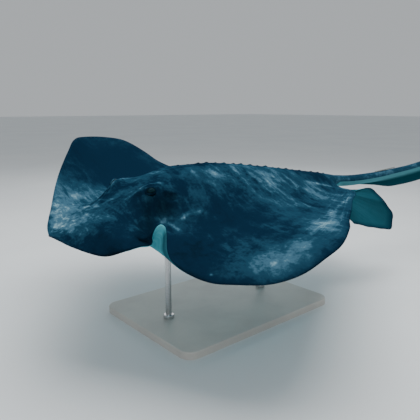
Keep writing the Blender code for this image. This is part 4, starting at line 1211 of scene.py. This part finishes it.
def pelvic_fin(name, side, tips):
    """A fan of skin with fine rays."""
    tip_path = smooth_path(tips)
    front, rear = (np.asarray(point) for point in PELVIC_ROOT)
    bpy.ops.mesh.primitive_grid_add(x_subdivisions=PELVIC_RAYS * RAY_COLUMNS, y_subdivisions=FIN_ROWS, size=2)
    fin = bpy.context.object
    fin.name = name
    flat = places_of(fin)
    ray, out = (flat[:, 0] + 1) / 2, (flat[:, 1] + 1) / 2
    root = front + (rear - front) * ray[:, None]
    fringe = 1 - PELVIC_FRINGE * (.5 - .5 * np.cos(ray * PELVIC_RAYS * math.pi)) * out
    point = root + (along(tip_path, ray) - root) * (out * fringe)[:, None]
    bow = PELVIC_BOW * np.sin(math.pi * out) * np.sin(math.pi * ray)
    sag = PELVIC_SAG * np.sin(math.pi * out) * ray**3
    sag = sag + RAY_RIDGE * np.sin(2 * math.pi * ray * PELVIC_RAYS) * np.sin(math.pi * out)
    set_places(fin, to_world(np.stack([side * (point[:, 1] + bow), point[:, 0], point[:, 2] - sag], axis=1)))
    group = fin.vertex_groups.new(name="thickness")
    for index, share in enumerate(out):
        group.add([index], float(1 - (1 - PELVIC_EDGE) * share**2), "REPLACE")
    new_values(fin, "rib", ray)
    new_values(fin, "reach", out)
    apply_modifier(fin, "SOLIDIFY", thickness=PELVIC_THICK, offset=0, vertex_group="thickness")
    half = len(flat)
    first_up = normals_of(fin)[:half, 2].mean() > 0
    new_values(fin, "face", np.where((np.arange(len(fin.data.vertices)) < half) == first_up, 1, -1))
    return fin


bpy.ops.object.select_all(action="DESELECT")
fins = [pelvic_fin("fin_left", 1, PELVIC_LEFT), pelvic_fin("fin_right", -1, PELVIC_RIGHT)]
print("pelvic fins:", [len(fin.data.vertices) for fin in fins])

# %% [markdown]
# A Boolean modifier unites the fins with the body. It may leave the new vertices along the join without
# their attributes, so every vertex then takes them from the nearest vertex of before.

# %% Unite the fins with the skin
KEPT = ("rib", "reach", "face", "dark", "thorn", "fold", "pelvic", "tone", "wisp")
PELVIC_TONE = .48

new_values(skin, "pelvic", np.zeros(len(skin.data.vertices)))
for fin in fins:
    for name in ("dark", "thorn", "fold"):
        new_values(fin, name, np.zeros(len(fin.data.vertices)))
    new_values(fin, "pelvic", np.ones(len(fin.data.vertices)))
    new_values(fin, "tone", np.full(len(fin.data.vertices), PELVIC_TONE))
    new_values(fin, "wisp", np.full(len(fin.data.vertices), WISP[2]))
sources = [skin] + fins
before = {name: np.concatenate([values_of(obj, name) for obj in sources]) for name in KEPT}
tree = KDTree(len(before["rib"]))
for index, place in enumerate(np.concatenate([places_of(obj) for obj in sources])):
    tree.insert(place, index)
tree.balance()

bpy.context.view_layer.objects.active = skin
for fin in fins:
    apply_modifier(skin, "BOOLEAN", operation="UNION", solver="EXACT", object=fin)
    bpy.data.objects.remove(fin)
nearest = np.array([tree.find(vertex.co)[1] for vertex in skin.data.vertices])
for name in KEPT:
    new_values(skin, name, before[name][nearest])
bpy.ops.object.select_all(action="DESELECT")
skin.select_set(True)
bpy.context.view_layer.objects.active = skin
bpy.ops.object.mode_set(mode="EDIT")
select_open_edges()
bpy.ops.object.mode_set(mode="OBJECT")
bpy.ops.object.shade_smooth()
triangles = sum(len(polygon.vertices) - 2 for polygon in skin.data.polygons)
print("skin:", triangles, "triangles,", sum(edge.select for edge in skin.data.edges), "open edges")

# %% The skin takes the flesh nodes' place
FLESH = ["head", "trunk", "pectoral_fin_left", "pectoral_fin_right", "pelvic_fin_left", "pelvic_fin_right",
         "tail_base", "tail_middle", "tail_whip_front", "tail_whip_rear", "tail_fold"]

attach(skin, "root")
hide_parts(*FLESH)
print("skin in place of", len(FLESH), "nodes")

# %% [markdown]
# ## Eyes
# The eyeball is dark and glossy, with a clear bulge over a slit pupil. Only a part of it shows between the
# lids. A sphere whose pole looks out of the head gives rings that fit the bulge. Each vertex keeps how far
# it lies from the middle of the eye, lengthwise and upwards, for the oval iris and the slit.

# %% Eyes
BALL_SEGMENTS = 64
BALL_RINGS = 40
# The bulge: its width in degrees and its height
CORNEA = (32, .0007)

for side, name in ((1, "eye_left"), (-1, "eye_right")):
    bpy.ops.mesh.primitive_uv_sphere_add(segments=BALL_SEGMENTS, ring_count=BALL_RINGS, radius=EYE_RADIUS)
    eye = bpy.context.object
    eye.name = name + "_ball"
    ball = places_of(eye)
    angle = np.degrees(np.arccos(np.clip(ball[:, 2] / EYE_RADIUS, -1, 1)))
    ball *= (1 + CORNEA[1] / EYE_RADIUS * bell(angle, CORNEA[0]))[:, None]
    axis = Vector(mirrored(EYE_AXIS, side))
    lengthwise = (Vector((0, 1, 0)) - axis * axis.y).normalized()
    facing = np.array([lengthwise, axis.cross(lengthwise), axis])
    set_places(eye, to_world(ball @ facing + mirrored(EYE_CENTRE, side)))
    new_values(eye, "slit_wide", ball[:, 0] / EYE_RADIUS)
    new_values(eye, "slit_tall", ball[:, 1] / EYE_RADIUS)
    bpy.ops.object.shade_smooth()
    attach(eye, "root")
    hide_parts(name)

# %% [markdown]
# ## Sting
# The sting is a flat blade of bone that lies on the tail, with a row of small barbs along each edge. Its
# outline is drawn as a filled circle whose vertices are moved to the outline. Solidify gives it its
# thickness, and a small bevel takes off the sawn look.

# %% Sting
# Where it leaves the tail, as a fraction of the tail's length, how steeply, and how far off the skin
STING_AT = .175
STING_RISE = 2
GAP = .0003
STING_LENGTH = .105
STING_BREADTH = .0075
STING_THICK = .0024
STING_BEVEL = .0004
# Degrees between two faces from which an edge is bevelled, and from which it stays sharp
STING_BEVEL_FROM = 50
STING_SHARP_FROM = 35
# Outline of the root: distance along, half breadth
STING_ROOT = [(0, .0030), (.006, .0034)]
# The barbs: how many, the first one's place, the bare point, how far each stands out, and its length
STING_BARBS = 16
STING_FIRST_BARB = .008
STING_POINT = .004
BARB_STEP = .0009
BARB_LENGTH = .0022


def sting_outline():
    """Outline of the sting, up one barbed edge and down the other: distance along, across."""
    half = list(STING_ROOT)
    for barb in range(STING_BARBS):
        share = (barb + .5) / STING_BARBS
        wide = STING_BREADTH / 2 * math.sqrt(1 - share)
        forward = STING_FIRST_BARB + share * (STING_LENGTH - STING_FIRST_BARB - STING_POINT)
        half.append((forward, wide + BARB_STEP * math.sqrt(1 - share)))
        half.append((forward + BARB_LENGTH, wide))
    return np.array(half + [(forward, -across) for forward, across in reversed(half)])


middle, _, half_height, sideways, upward, ahead = tail_frame(STING_AT)
rise = math.radians(STING_RISE)
run = ahead * math.cos(rise) + upward * math.sin(rise)
foot = middle + upward * (half_height + GAP + STING_THICK / 2)
outline = sting_outline()
bpy.ops.mesh.primitive_circle_add(vertices=len(outline), radius=1, fill_type="NGON")
sting = bpy.context.object
sting.name = "sting_blade"
set_places(sting, to_world(foot + outline[:, :1] * run + outline[:, 1:] * sideways))
apply_modifier(sting, "SOLIDIFY", thickness=STING_THICK, offset=0)
apply_modifier(sting, "BEVEL", width=STING_BEVEL, segments=2,
               angle_limit=math.radians(STING_BEVEL_FROM))
bpy.ops.object.mode_set(mode="EDIT")
bpy.ops.mesh.select_all(action="SELECT")
bpy.ops.mesh.normals_make_consistent(inside=False)
bpy.ops.object.mode_set(mode="OBJECT")
bpy.ops.object.shade_smooth_by_angle(angle=math.radians(STING_SHARP_FROM))
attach(sting, "root")
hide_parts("sting")
print("sting:", len(sting.data.vertices), "vertices")

# %% [markdown]
# ## Stand
# The stand is plain museum work: a painted slab with rounded corners and two steel rods, each in a small
# turned collar. The slab is a cube with two bevels. The rods take their places from the solids.

# %% Slab
BASE_ROUND = .030
BASE_BEVEL = .003
CLOSE = 1e-5
FLAT_ANGLE = math.radians(30)


def pick_edges(obj, wanted):
    """Select the edges of a mesh whose two ends a rule wants, and go into edit mode."""
    bpy.ops.object.mode_set(mode="EDIT")
    bpy.ops.mesh.select_mode(type="EDGE")
    bpy.ops.mesh.select_all(action="DESELECT")
    bpy.ops.object.mode_set(mode="OBJECT")
    for edge in obj.data.edges:
        ends = [obj.data.vertices[index].co for index in edge.vertices]
        edge.select = wanted(*ends)
    bpy.ops.object.mode_set(mode="EDIT")


low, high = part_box("stand_base")
bpy.ops.mesh.primitive_cube_add(size=1, location=(low + high) / 2, scale=high - low)
slab = bpy.context.object
slab.name = "stand_slab"
bpy.ops.object.transform_apply(location=True, rotation=True, scale=True)
pick_edges(slab, lambda a, b: abs(a.z - b.z) > (high.z - low.z) / 2)
bpy.ops.mesh.bevel(offset=BASE_ROUND, segments=16, affect="EDGES")
bpy.ops.object.mode_set(mode="OBJECT")
pick_edges(slab, lambda a, b: min(a.z, b.z) > high.z - CLOSE)
bpy.ops.mesh.bevel(offset=BASE_BEVEL, segments=5, affect="EDGES")
bpy.ops.object.mode_set(mode="OBJECT")
bpy.ops.object.shade_smooth_by_angle(angle=FLAT_ANGLE)
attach(slab, "root")
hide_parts("stand_base")
print("slab:", len(slab.data.vertices), "vertices")

# %% Rods and collars
RODS = ("stand_rod_front", "stand_rod_rear")
ROD_RADIUS = .0075
COLLAR_RADIUS = .0135
COLLAR_TALL = .009
COLLAR_BEVEL = .0018

for name in RODS:
    low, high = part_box(name)
    middle = (low + high) / 2
    bpy.ops.mesh.primitive_cylinder_add(vertices=64, radius=ROD_RADIUS, depth=high.z - low.z, location=middle)
    rod = bpy.context.object
    bpy.ops.mesh.primitive_cylinder_add(vertices=64, radius=COLLAR_RADIUS, depth=COLLAR_TALL,
                                        location=(middle.x, middle.y, low.z + COLLAR_TALL / 2))
    collar = bpy.context.object
    bpy.ops.object.transform_apply(location=True, rotation=True, scale=True)
    pick_edges(collar, lambda a, b: min(a.z, b.z) > low.z + COLLAR_TALL - CLOSE)
    bpy.ops.mesh.bevel(offset=COLLAR_BEVEL, segments=4, affect="EDGES")
    bpy.ops.object.mode_set(mode="OBJECT")
    for piece, label in ((rod, name + "_shaft"), (collar, name + "_collar")):
        piece.name = label
        bpy.ops.object.select_all(action="DESELECT")
        piece.select_set(True)
        bpy.context.view_layer.objects.active = piece
        bpy.ops.object.transform_apply(location=True, rotation=True, scale=True)
        bpy.ops.object.shade_smooth_by_angle(angle=FLAT_ANGLE)
        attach(piece, "root")
    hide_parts(name)
    print(name, "from", round(low.z, 4), "to", round(high.z, 4))

# %% [markdown]
# ## Finishes
# Every finish is made of noise and of the marks kept in the mesh, and needs no image. Two effects serve
# several finishes and are node groups: soft mottling between two limits, and a fine grain for roughness
# and bump.

# %% Node helpers
def add(tree, kind, values=None, **settings):
    """A node with its settings and the values of its inputs."""
    node = tree.nodes.new(kind)
    for name, value in settings.items():
        setattr(node, name, value)
    for name, value in (values or {}).items():
        node.inputs[name].default_value = value
    return node


def mark(tree, name):
    """The numbers kept in the mesh under a name."""
    return add(tree, "ShaderNodeAttribute", attribute_name=name).outputs["Fac"]


def math_node(tree, operation, a, b=0.0, clamp=False):
    """A sum, product or the like of two values or sockets."""
    node = add(tree, "ShaderNodeMath", operation=operation, use_clamp=clamp)
    for socket, value in zip(node.inputs, (a, b)):
        if isinstance(value, bpy.types.NodeSocket):
            tree.links.new(value, socket)
        else:
            socket.default_value = value
    return node.outputs[0]


def times(tree, a, b):
    """The product of two values or sockets."""
    return math_node(tree, "MULTIPLY", a, b)


def blend(tree, share, first, second):
    """A colour between two colours or sockets."""
    node = add(tree, "ShaderNodeMix", data_type="RGBA")
    sockets = [socket for socket in node.inputs if socket.enabled]
    for socket, value in zip(sockets, (share, first, second)):
        if isinstance(value, bpy.types.NodeSocket):
            tree.links.new(value, socket)
        else:
            socket.default_value = (*value, 1) if isinstance(value, tuple) else value
    return [socket for socket in node.outputs if socket.enabled][0]


def new_group(name, inputs, outputs):
    """An empty shader group with number and vector inputs and number outputs."""
    group = bpy.data.node_groups.new(name, "ShaderNodeTree")
    for label, kind, value in inputs:
        socket = group.interface.new_socket(name=label, in_out="INPUT", socket_type=kind)
        if value is not None:
            socket.default_value = value
    for label in outputs:
        group.interface.new_socket(name=label, in_out="OUTPUT", socket_type="NodeSocketFloat")
    return group, add(group, "NodeGroupInput"), add(group, "NodeGroupOutput")


# %% Group: mottle
mottle, enter, leave = new_group("mottle", [
    ("Vector", "NodeSocketVector", None), ("Scale", "NodeSocketFloat", 10.0), ("Low", "NodeSocketFloat", .4),
    ("High", "NodeSocketFloat", .6), ("Twist", "NodeSocketFloat", .4)], ["Mask"])
noise = add(mottle, "ShaderNodeTexNoise", {"Detail": 5.0, "Roughness": .58})
mottle.links.new(enter.outputs["Vector"], noise.inputs["Vector"])
mottle.links.new(enter.outputs["Scale"], noise.inputs["Scale"])
mottle.links.new(enter.outputs["Twist"], noise.inputs["Distortion"])
limits = add(mottle, "ShaderNodeMapRange", interpolation_type="SMOOTHSTEP")
mottle.links.new(noise.outputs["Fac"], limits.inputs["Value"])
mottle.links.new(enter.outputs["Low"], limits.inputs["From Min"])
mottle.links.new(enter.outputs["High"], limits.inputs["From Max"])
mottle.links.new(limits.outputs["Result"], leave.inputs["Mask"])
print("group:", mottle.name, "with", len(mottle.nodes), "nodes")

# %% Group: grain
COARSE_SHARE = .22

grain, enter, leave = new_group("grain", [
    ("Vector", "NodeSocketVector", None), ("Scale", "NodeSocketFloat", 600.0)], ["Fine", "Coarse"])
for label, factor in (("Fine", 1.0), ("Coarse", COARSE_SHARE)):
    noise = add(grain, "ShaderNodeTexNoise", {"Detail": 3.0, "Roughness": .6})
    grain.links.new(enter.outputs["Vector"], noise.inputs["Vector"])
    grain.links.new(times(grain, enter.outputs["Scale"], factor), noise.inputs["Scale"])
    grain.links.new(noise.outputs["Fac"], leave.inputs[label])
print("group:", grain.name, "with", len(grain.nodes), "nodes")

# %% Material helpers
# Noise seldom leaves this range
GRAIN_RANGE = (.3, .7)


def new_finish(name, colour, roughness, metallic=0.0):
    """A material with its shader, and its Object coordinates."""
    material = bpy.data.materials.new(name)
    material.use_nodes = True
    tree = material.node_tree
    shader = tree.nodes["Principled BSDF"]
    shader.inputs["Base Color"].default_value = (*colour, 1)
    shader.inputs["Roughness"].default_value = roughness
    shader.inputs["Metallic"].default_value = metallic
    return material, tree, shader, add(tree, "ShaderNodeTexCoord").outputs["Object"]


def place_group(tree, group, vector, **values):
    """A group in a material, with its coordinates and values."""
    node = add(tree, "ShaderNodeGroup", node_tree=group)
    tree.links.new(vector, node.inputs["Vector"])
    for name, value in values.items():
        node.inputs[name.title()].default_value = value
    return node


def range_node(tree, value, low, high, to_low=0.0, to_high=1.0):
    """Bring a value from one range to another."""
    node = add(tree, "ShaderNodeMapRange",
               {"From Min": low, "From Max": high, "To Min": to_low, "To Max": to_high})
    tree.links.new(value, node.inputs["Value"])
    return node.outputs["Result"]


def grainy_gloss(tree, shader, height, low, high):
    """Roughness that follows a grain between two values."""
    tree.links.new(range_node(tree, height, *GRAIN_RANGE, low, high), shader.inputs["Roughness"])


def bump(tree, shader, height, strength, distance):
    """Relief from a height."""
    node = add(tree, "ShaderNodeBump", {"Strength": strength, "Distance": distance})
    tree.links.new(height, node.inputs["Height"])
    tree.links.new(node.outputs["Normal"], shader.inputs["Normal"])


def wear(obj, material):
    """Put a material on a piece in place of any other."""
    obj.data.materials.clear()
    obj.data.materials.append(material)


# %% [markdown]
# ### Skin
# A stingray is countershaded: slate blue and mottled above, pale below. The back's colour follows the tone
# kept in the mesh, through six colours from nearly black to pale blue-green, and clouds shift that tone.
# The pelvic fins are a deeper teal with a dark rim. Wet skin is smooth with a fine pebble, the thorns
# are dusky, and openings, hollows and the lids' edges get painted shade.

# %% Colours of the skin
# The back from the darkest tone to the palest
BACK_COLOURS = [(0, (.0022, .0065, .0115)), (.22, (.0042, .0165, .0350)), (.42, (.0125, .0430, .0740)),
                (.62, (.0430, .1120, .1650)), (.82, (.1450, .2700, .3300)), (1, (.3300, .5000, .5600))]
PELVIC_COLOUR = (.0140, .0760, .1000)
BELLY_COLOUR = (.20, .46, .52)
BELLY_GREY = (.11, .32, .38)
BELLY_RIM = (.060, .31, .38)
BELLY_STREAK = (.170, .52, .58)
TAIL_UNDER = (.070, .230, .270)
BELLY_EDGE = (.016, .070, .098)
BLACK = (.0014, .0048, .0080)
FOLD_COLOUR = (.0060, .0460, .0640)
print("tones of the back:", len(BACK_COLOURS))

# %% [markdown]
# The clouds are noise in four sizes. Fine pale streaks follow the ribs of the great fins, and towards the
# edge others follow the margin. Their noise reads the attributes "rib" and "reach" and not the place, so
# it is drawn out along the fin however that is bent.

# %% Clouds and streaks of the skin
SKIN_SPECULAR = 0

skin_finish, tree, shader, place = new_finish("wet_slate_skin", BACK_COLOURS[2][1], .45)
shader.inputs["Specular IOR Level"].default_value = SKIN_SPECULAR
rib, reach, wisp = mark(tree, "rib"), mark(tree, "reach"), mark(tree, "wisp")
from_midline = math_node(tree, "ABSOLUTE", reach)


def lines_of(along_rib, along_margin):
    """Coordinates whose noise is drawn out along the ribs or along the margin."""
    node = add(tree, "ShaderNodeCombineXYZ")
    tree.links.new(times(tree, rib, along_margin), node.inputs["X"])
    tree.links.new(times(tree, reach, along_rib), node.inputs["Y"])
    return node.outputs["Vector"]


def mask(vector, **values):
    """Soft mottling of the skin."""
    return place_group(tree, mottle, vector, **values).outputs["Mask"]


broad = mask(place, scale=9.0, low=.30, high=.70)
small = mask(place, scale=34.0, low=.36, high=.72)
fleck = mask(place, scale=95.0, low=.55, high=.72, twist=.1)
grit = mask(place, scale=170.0, low=.25, high=.75, twist=.1)
ray = mask(lines_of(5.0, 64.0), scale=1.0, low=.46, high=.76)
rim = mask(lines_of(34.0, 9.0), scale=1.0, low=.46, high=.76)
print("masks of the skin:", [node.type for node in tree.nodes].count("GROUP"))

# %% Colour of the back
# Where streaks along the ribs give way to streaks along the margin, and where on the margin those start
OUTER = (.55, .85)
RIM_FROM = (.42, .56)

outer = range_node(tree, from_midline, *OUTER)
rays = times(tree, ray, math_node(tree, "SUBTRACT", 1.0, outer))
outer_rims = times(tree, rim, outer)
rims = times(tree, outer_rims, range_node(tree, rib, *RIM_FROM))
# Each mask, how strongly it shifts the tone, and its value that shifts nothing
clouds = 0.0
for part, amount, centre in ((broad, .26, .5), (small, .22, .4), (rays, .20, .1), (rims, .26, .2),
                             (times(tree, fleck, small), .14, 0.0), (grit, .12, .5)):
    shift = times(tree, math_node(tree, "SUBTRACT", part, centre), amount)
    clouds = math_node(tree, "ADD", clouds, shift)
ramp = add(tree, "ShaderNodeValToRGB")
ramp.color_ramp.interpolation = "EASE"
while len(ramp.color_ramp.elements) < len(BACK_COLOURS):
    ramp.color_ramp.elements.new(.5)
for element, (share, colour) in zip(ramp.color_ramp.elements, BACK_COLOURS):
    element.position = share
    element.color = (*colour, 1)
tree.links.new(math_node(tree, "ADD", mark(tree, "tone"), times(tree, clouds, wisp)), ramp.inputs["Fac"])
print("back:", len(tree.nodes), "nodes")

# %% [markdown]
# The belly is pale, greyer in clouds, bluer and streaked towards the edge of the wings, with a dark border
# behind the roll and a darker tail. On the pelvic fins the teal lies over the back's own colours.

# %% Colours of belly and pelvic fins
BELLY_RIM_FROM = (.45, .80)
STREAKS_BELOW = .5
# The dark border: where on a rib it starts, how strong it gets, and from where on the margin
BORDER_FROM = (.90, .955)
BORDER_STRENGTH = .9
BORDER_MARGIN = (.203, .213)
TAIL_FROM = (.99, 1.02)
TEAL_STRENGTH = .8
# The dark rim of a pelvic fin: where on a ray it starts, and how strong it gets
PELVIC_RIM = (.86, .98)
PELVIC_RIM_STRENGTH = .75

belly = blend(tree, broad, BELLY_GREY, BELLY_COLOUR)
belly = blend(tree, range_node(tree, from_midline, *BELLY_RIM_FROM), belly, BELLY_RIM)
belly = blend(tree, times(tree, outer_rims, STREAKS_BELOW), belly, BELLY_STREAK)
border = times(tree, range_node(tree, from_midline, *BORDER_FROM, 0.0, BORDER_STRENGTH),
               range_node(tree, rib, *BORDER_MARGIN))
belly = blend(tree, border, belly, BELLY_EDGE)
belly = blend(tree, range_node(tree, rib, *TAIL_FROM), belly, TAIL_UNDER)
pelvic = mark(tree, "pelvic")
pelvic_rim = times(tree, pelvic, range_node(tree, reach, *PELVIC_RIM, 0.0, PELVIC_RIM_STRENGTH))
back = blend(tree, times(tree, pelvic, TEAL_STRENGTH), ramp.outputs["Color"], PELVIC_COLOUR)
back = blend(tree, pelvic_rim, back, BACK_COLOURS[1][1])
print("belly:", len(tree.nodes), "nodes")

# %% Skin all over
UNDER_FROM = (.15, -.15)
# How black the foot of a thorn starts and its tip gets, and how black the painted shade of openings, hollows
# and lids gets
THORN_BLACK = (.05, .40, 0.0, .55)
PAINTED_SHADE_BLACK = .92
# Share of the finest grain and of the small clouds in the relief
FINE_RELIEF = .4
CLOUD_RELIEF = .5

colour = blend(tree, range_node(tree, mark(tree, "face"), *UNDER_FROM), back, belly)
colour = blend(tree, mark(tree, "fold"), colour, FOLD_COLOUR)
colour = blend(tree, range_node(tree, mark(tree, "thorn"), *THORN_BLACK), colour, BLACK)
# Painted shade in the openings, the hollows of the head and along the lids
colour = blend(tree, times(tree, mark(tree, "dark"), PAINTED_SHADE_BLACK), colour, BLACK)
tree.links.new(colour, shader.inputs["Base Color"])
fine = place_group(tree, grain, place, scale=900.0)
grainy_gloss(tree, shader, fine.outputs["Coarse"], .38, .55)
relief = math_node(tree, "ADD", times(tree, fine.outputs["Fine"], FINE_RELIEF), fine.outputs["Coarse"])
relief = math_node(tree, "ADD", relief, times(tree, small, CLOUD_RELIEF))
bump(tree, shader, relief, strength=.45, distance=.0008)
wear(skin, skin_finish)
print("skin finish:", len(tree.nodes), "nodes")

# %% [markdown]
# ### Eyes, bone, paint and steel
# The eyeball is nearly black. A dark blue-green oval lies round its slit pupil and fades outwards, with
# fine flecks. Bone has a faint stain in soft patches. Paint on the slab has the slight unevenness of a
# sprayed coat, and the steel of the rods is brushed round, so its noise is squeezed along the rod.

# %% Eyes
PUPIL = (.003, .004, .006)
IRIS = (.0095, .0350, .0470)
BALL_DARK = (.0036, .0115, .0160)
# Half length and half height of iris and pupil, in radii of the ball, and how softly each ends
IRIS_OVAL = (.60, .34)
IRIS_FADE = (1.25, .6)
PUPIL_OVAL = (.34, .08)
PUPIL_FADE = (1.3, .7)
PUPIL_STRENGTH = .7
# How much of the iris and how much gloss is left between the flecks
FLECKED = (.55, 1.0)
FLECK_GLOSS = (.18, .28)
EYE_SPECULAR = .006

eye_finish, tree, shader, place = new_finish("wet_eye", BALL_DARK, .2)
shader.inputs["Specular IOR Level"].default_value = EYE_SPECULAR
flecks = place_group(tree, mottle, place, scale=900.0, low=.35, high=.7).outputs["Mask"]


def slit(half_wide, half_tall):
    """Distance from the middle of an oval that lies along the eye, 1 on its edge."""
    parts = []
    for name, half in (("slit_wide", half_wide), ("slit_tall", half_tall)):
        part = math_node(tree, "DIVIDE", mark(tree, name), half)
        parts.append(times(tree, part, part))
    return math_node(tree, "SQRT", math_node(tree, "ADD", *parts))


iris = times(tree, range_node(tree, slit(*IRIS_OVAL), *IRIS_FADE),
             range_node(tree, flecks, 0.0, 1.0, *FLECKED))
pupil = range_node(tree, slit(*PUPIL_OVAL), *PUPIL_FADE, 0.0, PUPIL_STRENGTH)
colour = blend(tree, pupil, blend(tree, iris, BALL_DARK, IRIS), PUPIL)
tree.links.new(colour, shader.inputs["Base Color"])
tree.links.new(range_node(tree, flecks, 0.0, 1.0, *FLECK_GLOSS), shader.inputs["Roughness"])
for name in ("eye_left_ball", "eye_right_ball"):
    wear(bpy.data.objects[name], eye_finish)
print("eye finish:", len(tree.nodes), "nodes")

# %% Bone
BONE = (.20, .22, .20)
BONE_STAIN = (.07, .09, .09)


def stained(name, colour, stain, roughness, **clouds):
    """A finish of one colour with soft clouds of another."""
    finish, tree, shader, place = new_finish(name, colour, roughness)
    cloud = place_group(tree, mottle, place, **clouds)
    tree.links.new(blend(tree, cloud.outputs["Mask"], colour, stain), shader.inputs["Base Color"])
    return finish, tree, shader, place


bone_finish, tree, shader, place = stained("sting_bone", BONE, BONE_STAIN, .4, scale=120.0, low=.45, high=.7)
fine = place_group(tree, grain, place, scale=2500.0)
grainy_gloss(tree, shader, fine.outputs["Coarse"], .32, .5)
bump(tree, shader, fine.outputs["Coarse"], strength=.3, distance=.0002)
wear(sting, bone_finish)
print("bone finish:", len(tree.nodes), "nodes")

# %% Paint
PAINT = (.56, .54, .50)
PAINT_SHADE = (.49, .47, .44)

paint_finish, tree, shader, place = stained("slab_paint", PAINT, PAINT_SHADE, .5, scale=9.0, low=.35, high=.7)
fine = place_group(tree, grain, place, scale=1400.0)
grainy_gloss(tree, shader, fine.outputs["Coarse"], .42, .56)
bump(tree, shader, fine.outputs["Fine"], strength=.25, distance=.0002)
wear(slab, paint_finish)
print("paint finish:", len(tree.nodes), "nodes")

# %% Steel
STEEL = (.56, .57, .58)
STEEL_DARK = (.50, .51, .52)
SQUEEZE = (1.0, 1.0, 40.0)

steel_finish, tree, shader, place = new_finish("brushed_steel", STEEL, .25, 1.0)
squeeze = add(tree, "ShaderNodeMapping", {"Scale": SQUEEZE})
tree.links.new(place, squeeze.inputs["Vector"])
lines = place_group(tree, grain, squeeze.outputs["Vector"], scale=90.0)
tree.links.new(blend(tree, lines.outputs["Coarse"], STEEL_DARK, STEEL), shader.inputs["Base Color"])
grainy_gloss(tree, shader, lines.outputs["Fine"], .2, .36)
bump(tree, shader, lines.outputs["Fine"], strength=.15, distance=.0001)
for name in RODS:
    for part in ("_shaft", "_collar"):
        wear(bpy.data.objects[name + part], steel_finish)
print("steel finish:", len(tree.nodes), "nodes")

# %% Floor
FLOOR_PALE = (.74, .77, .78)
FLOOR_SHADE = (.70, .73, .745)

floor_finish, tree, _, _ = stained("pale_floor", FLOOR_PALE, FLOOR_SHADE, .7, scale=1.2, low=.3, high=.7)
wear(floor, floor_finish)
print("floor finish:", len(tree.nodes), "nodes")
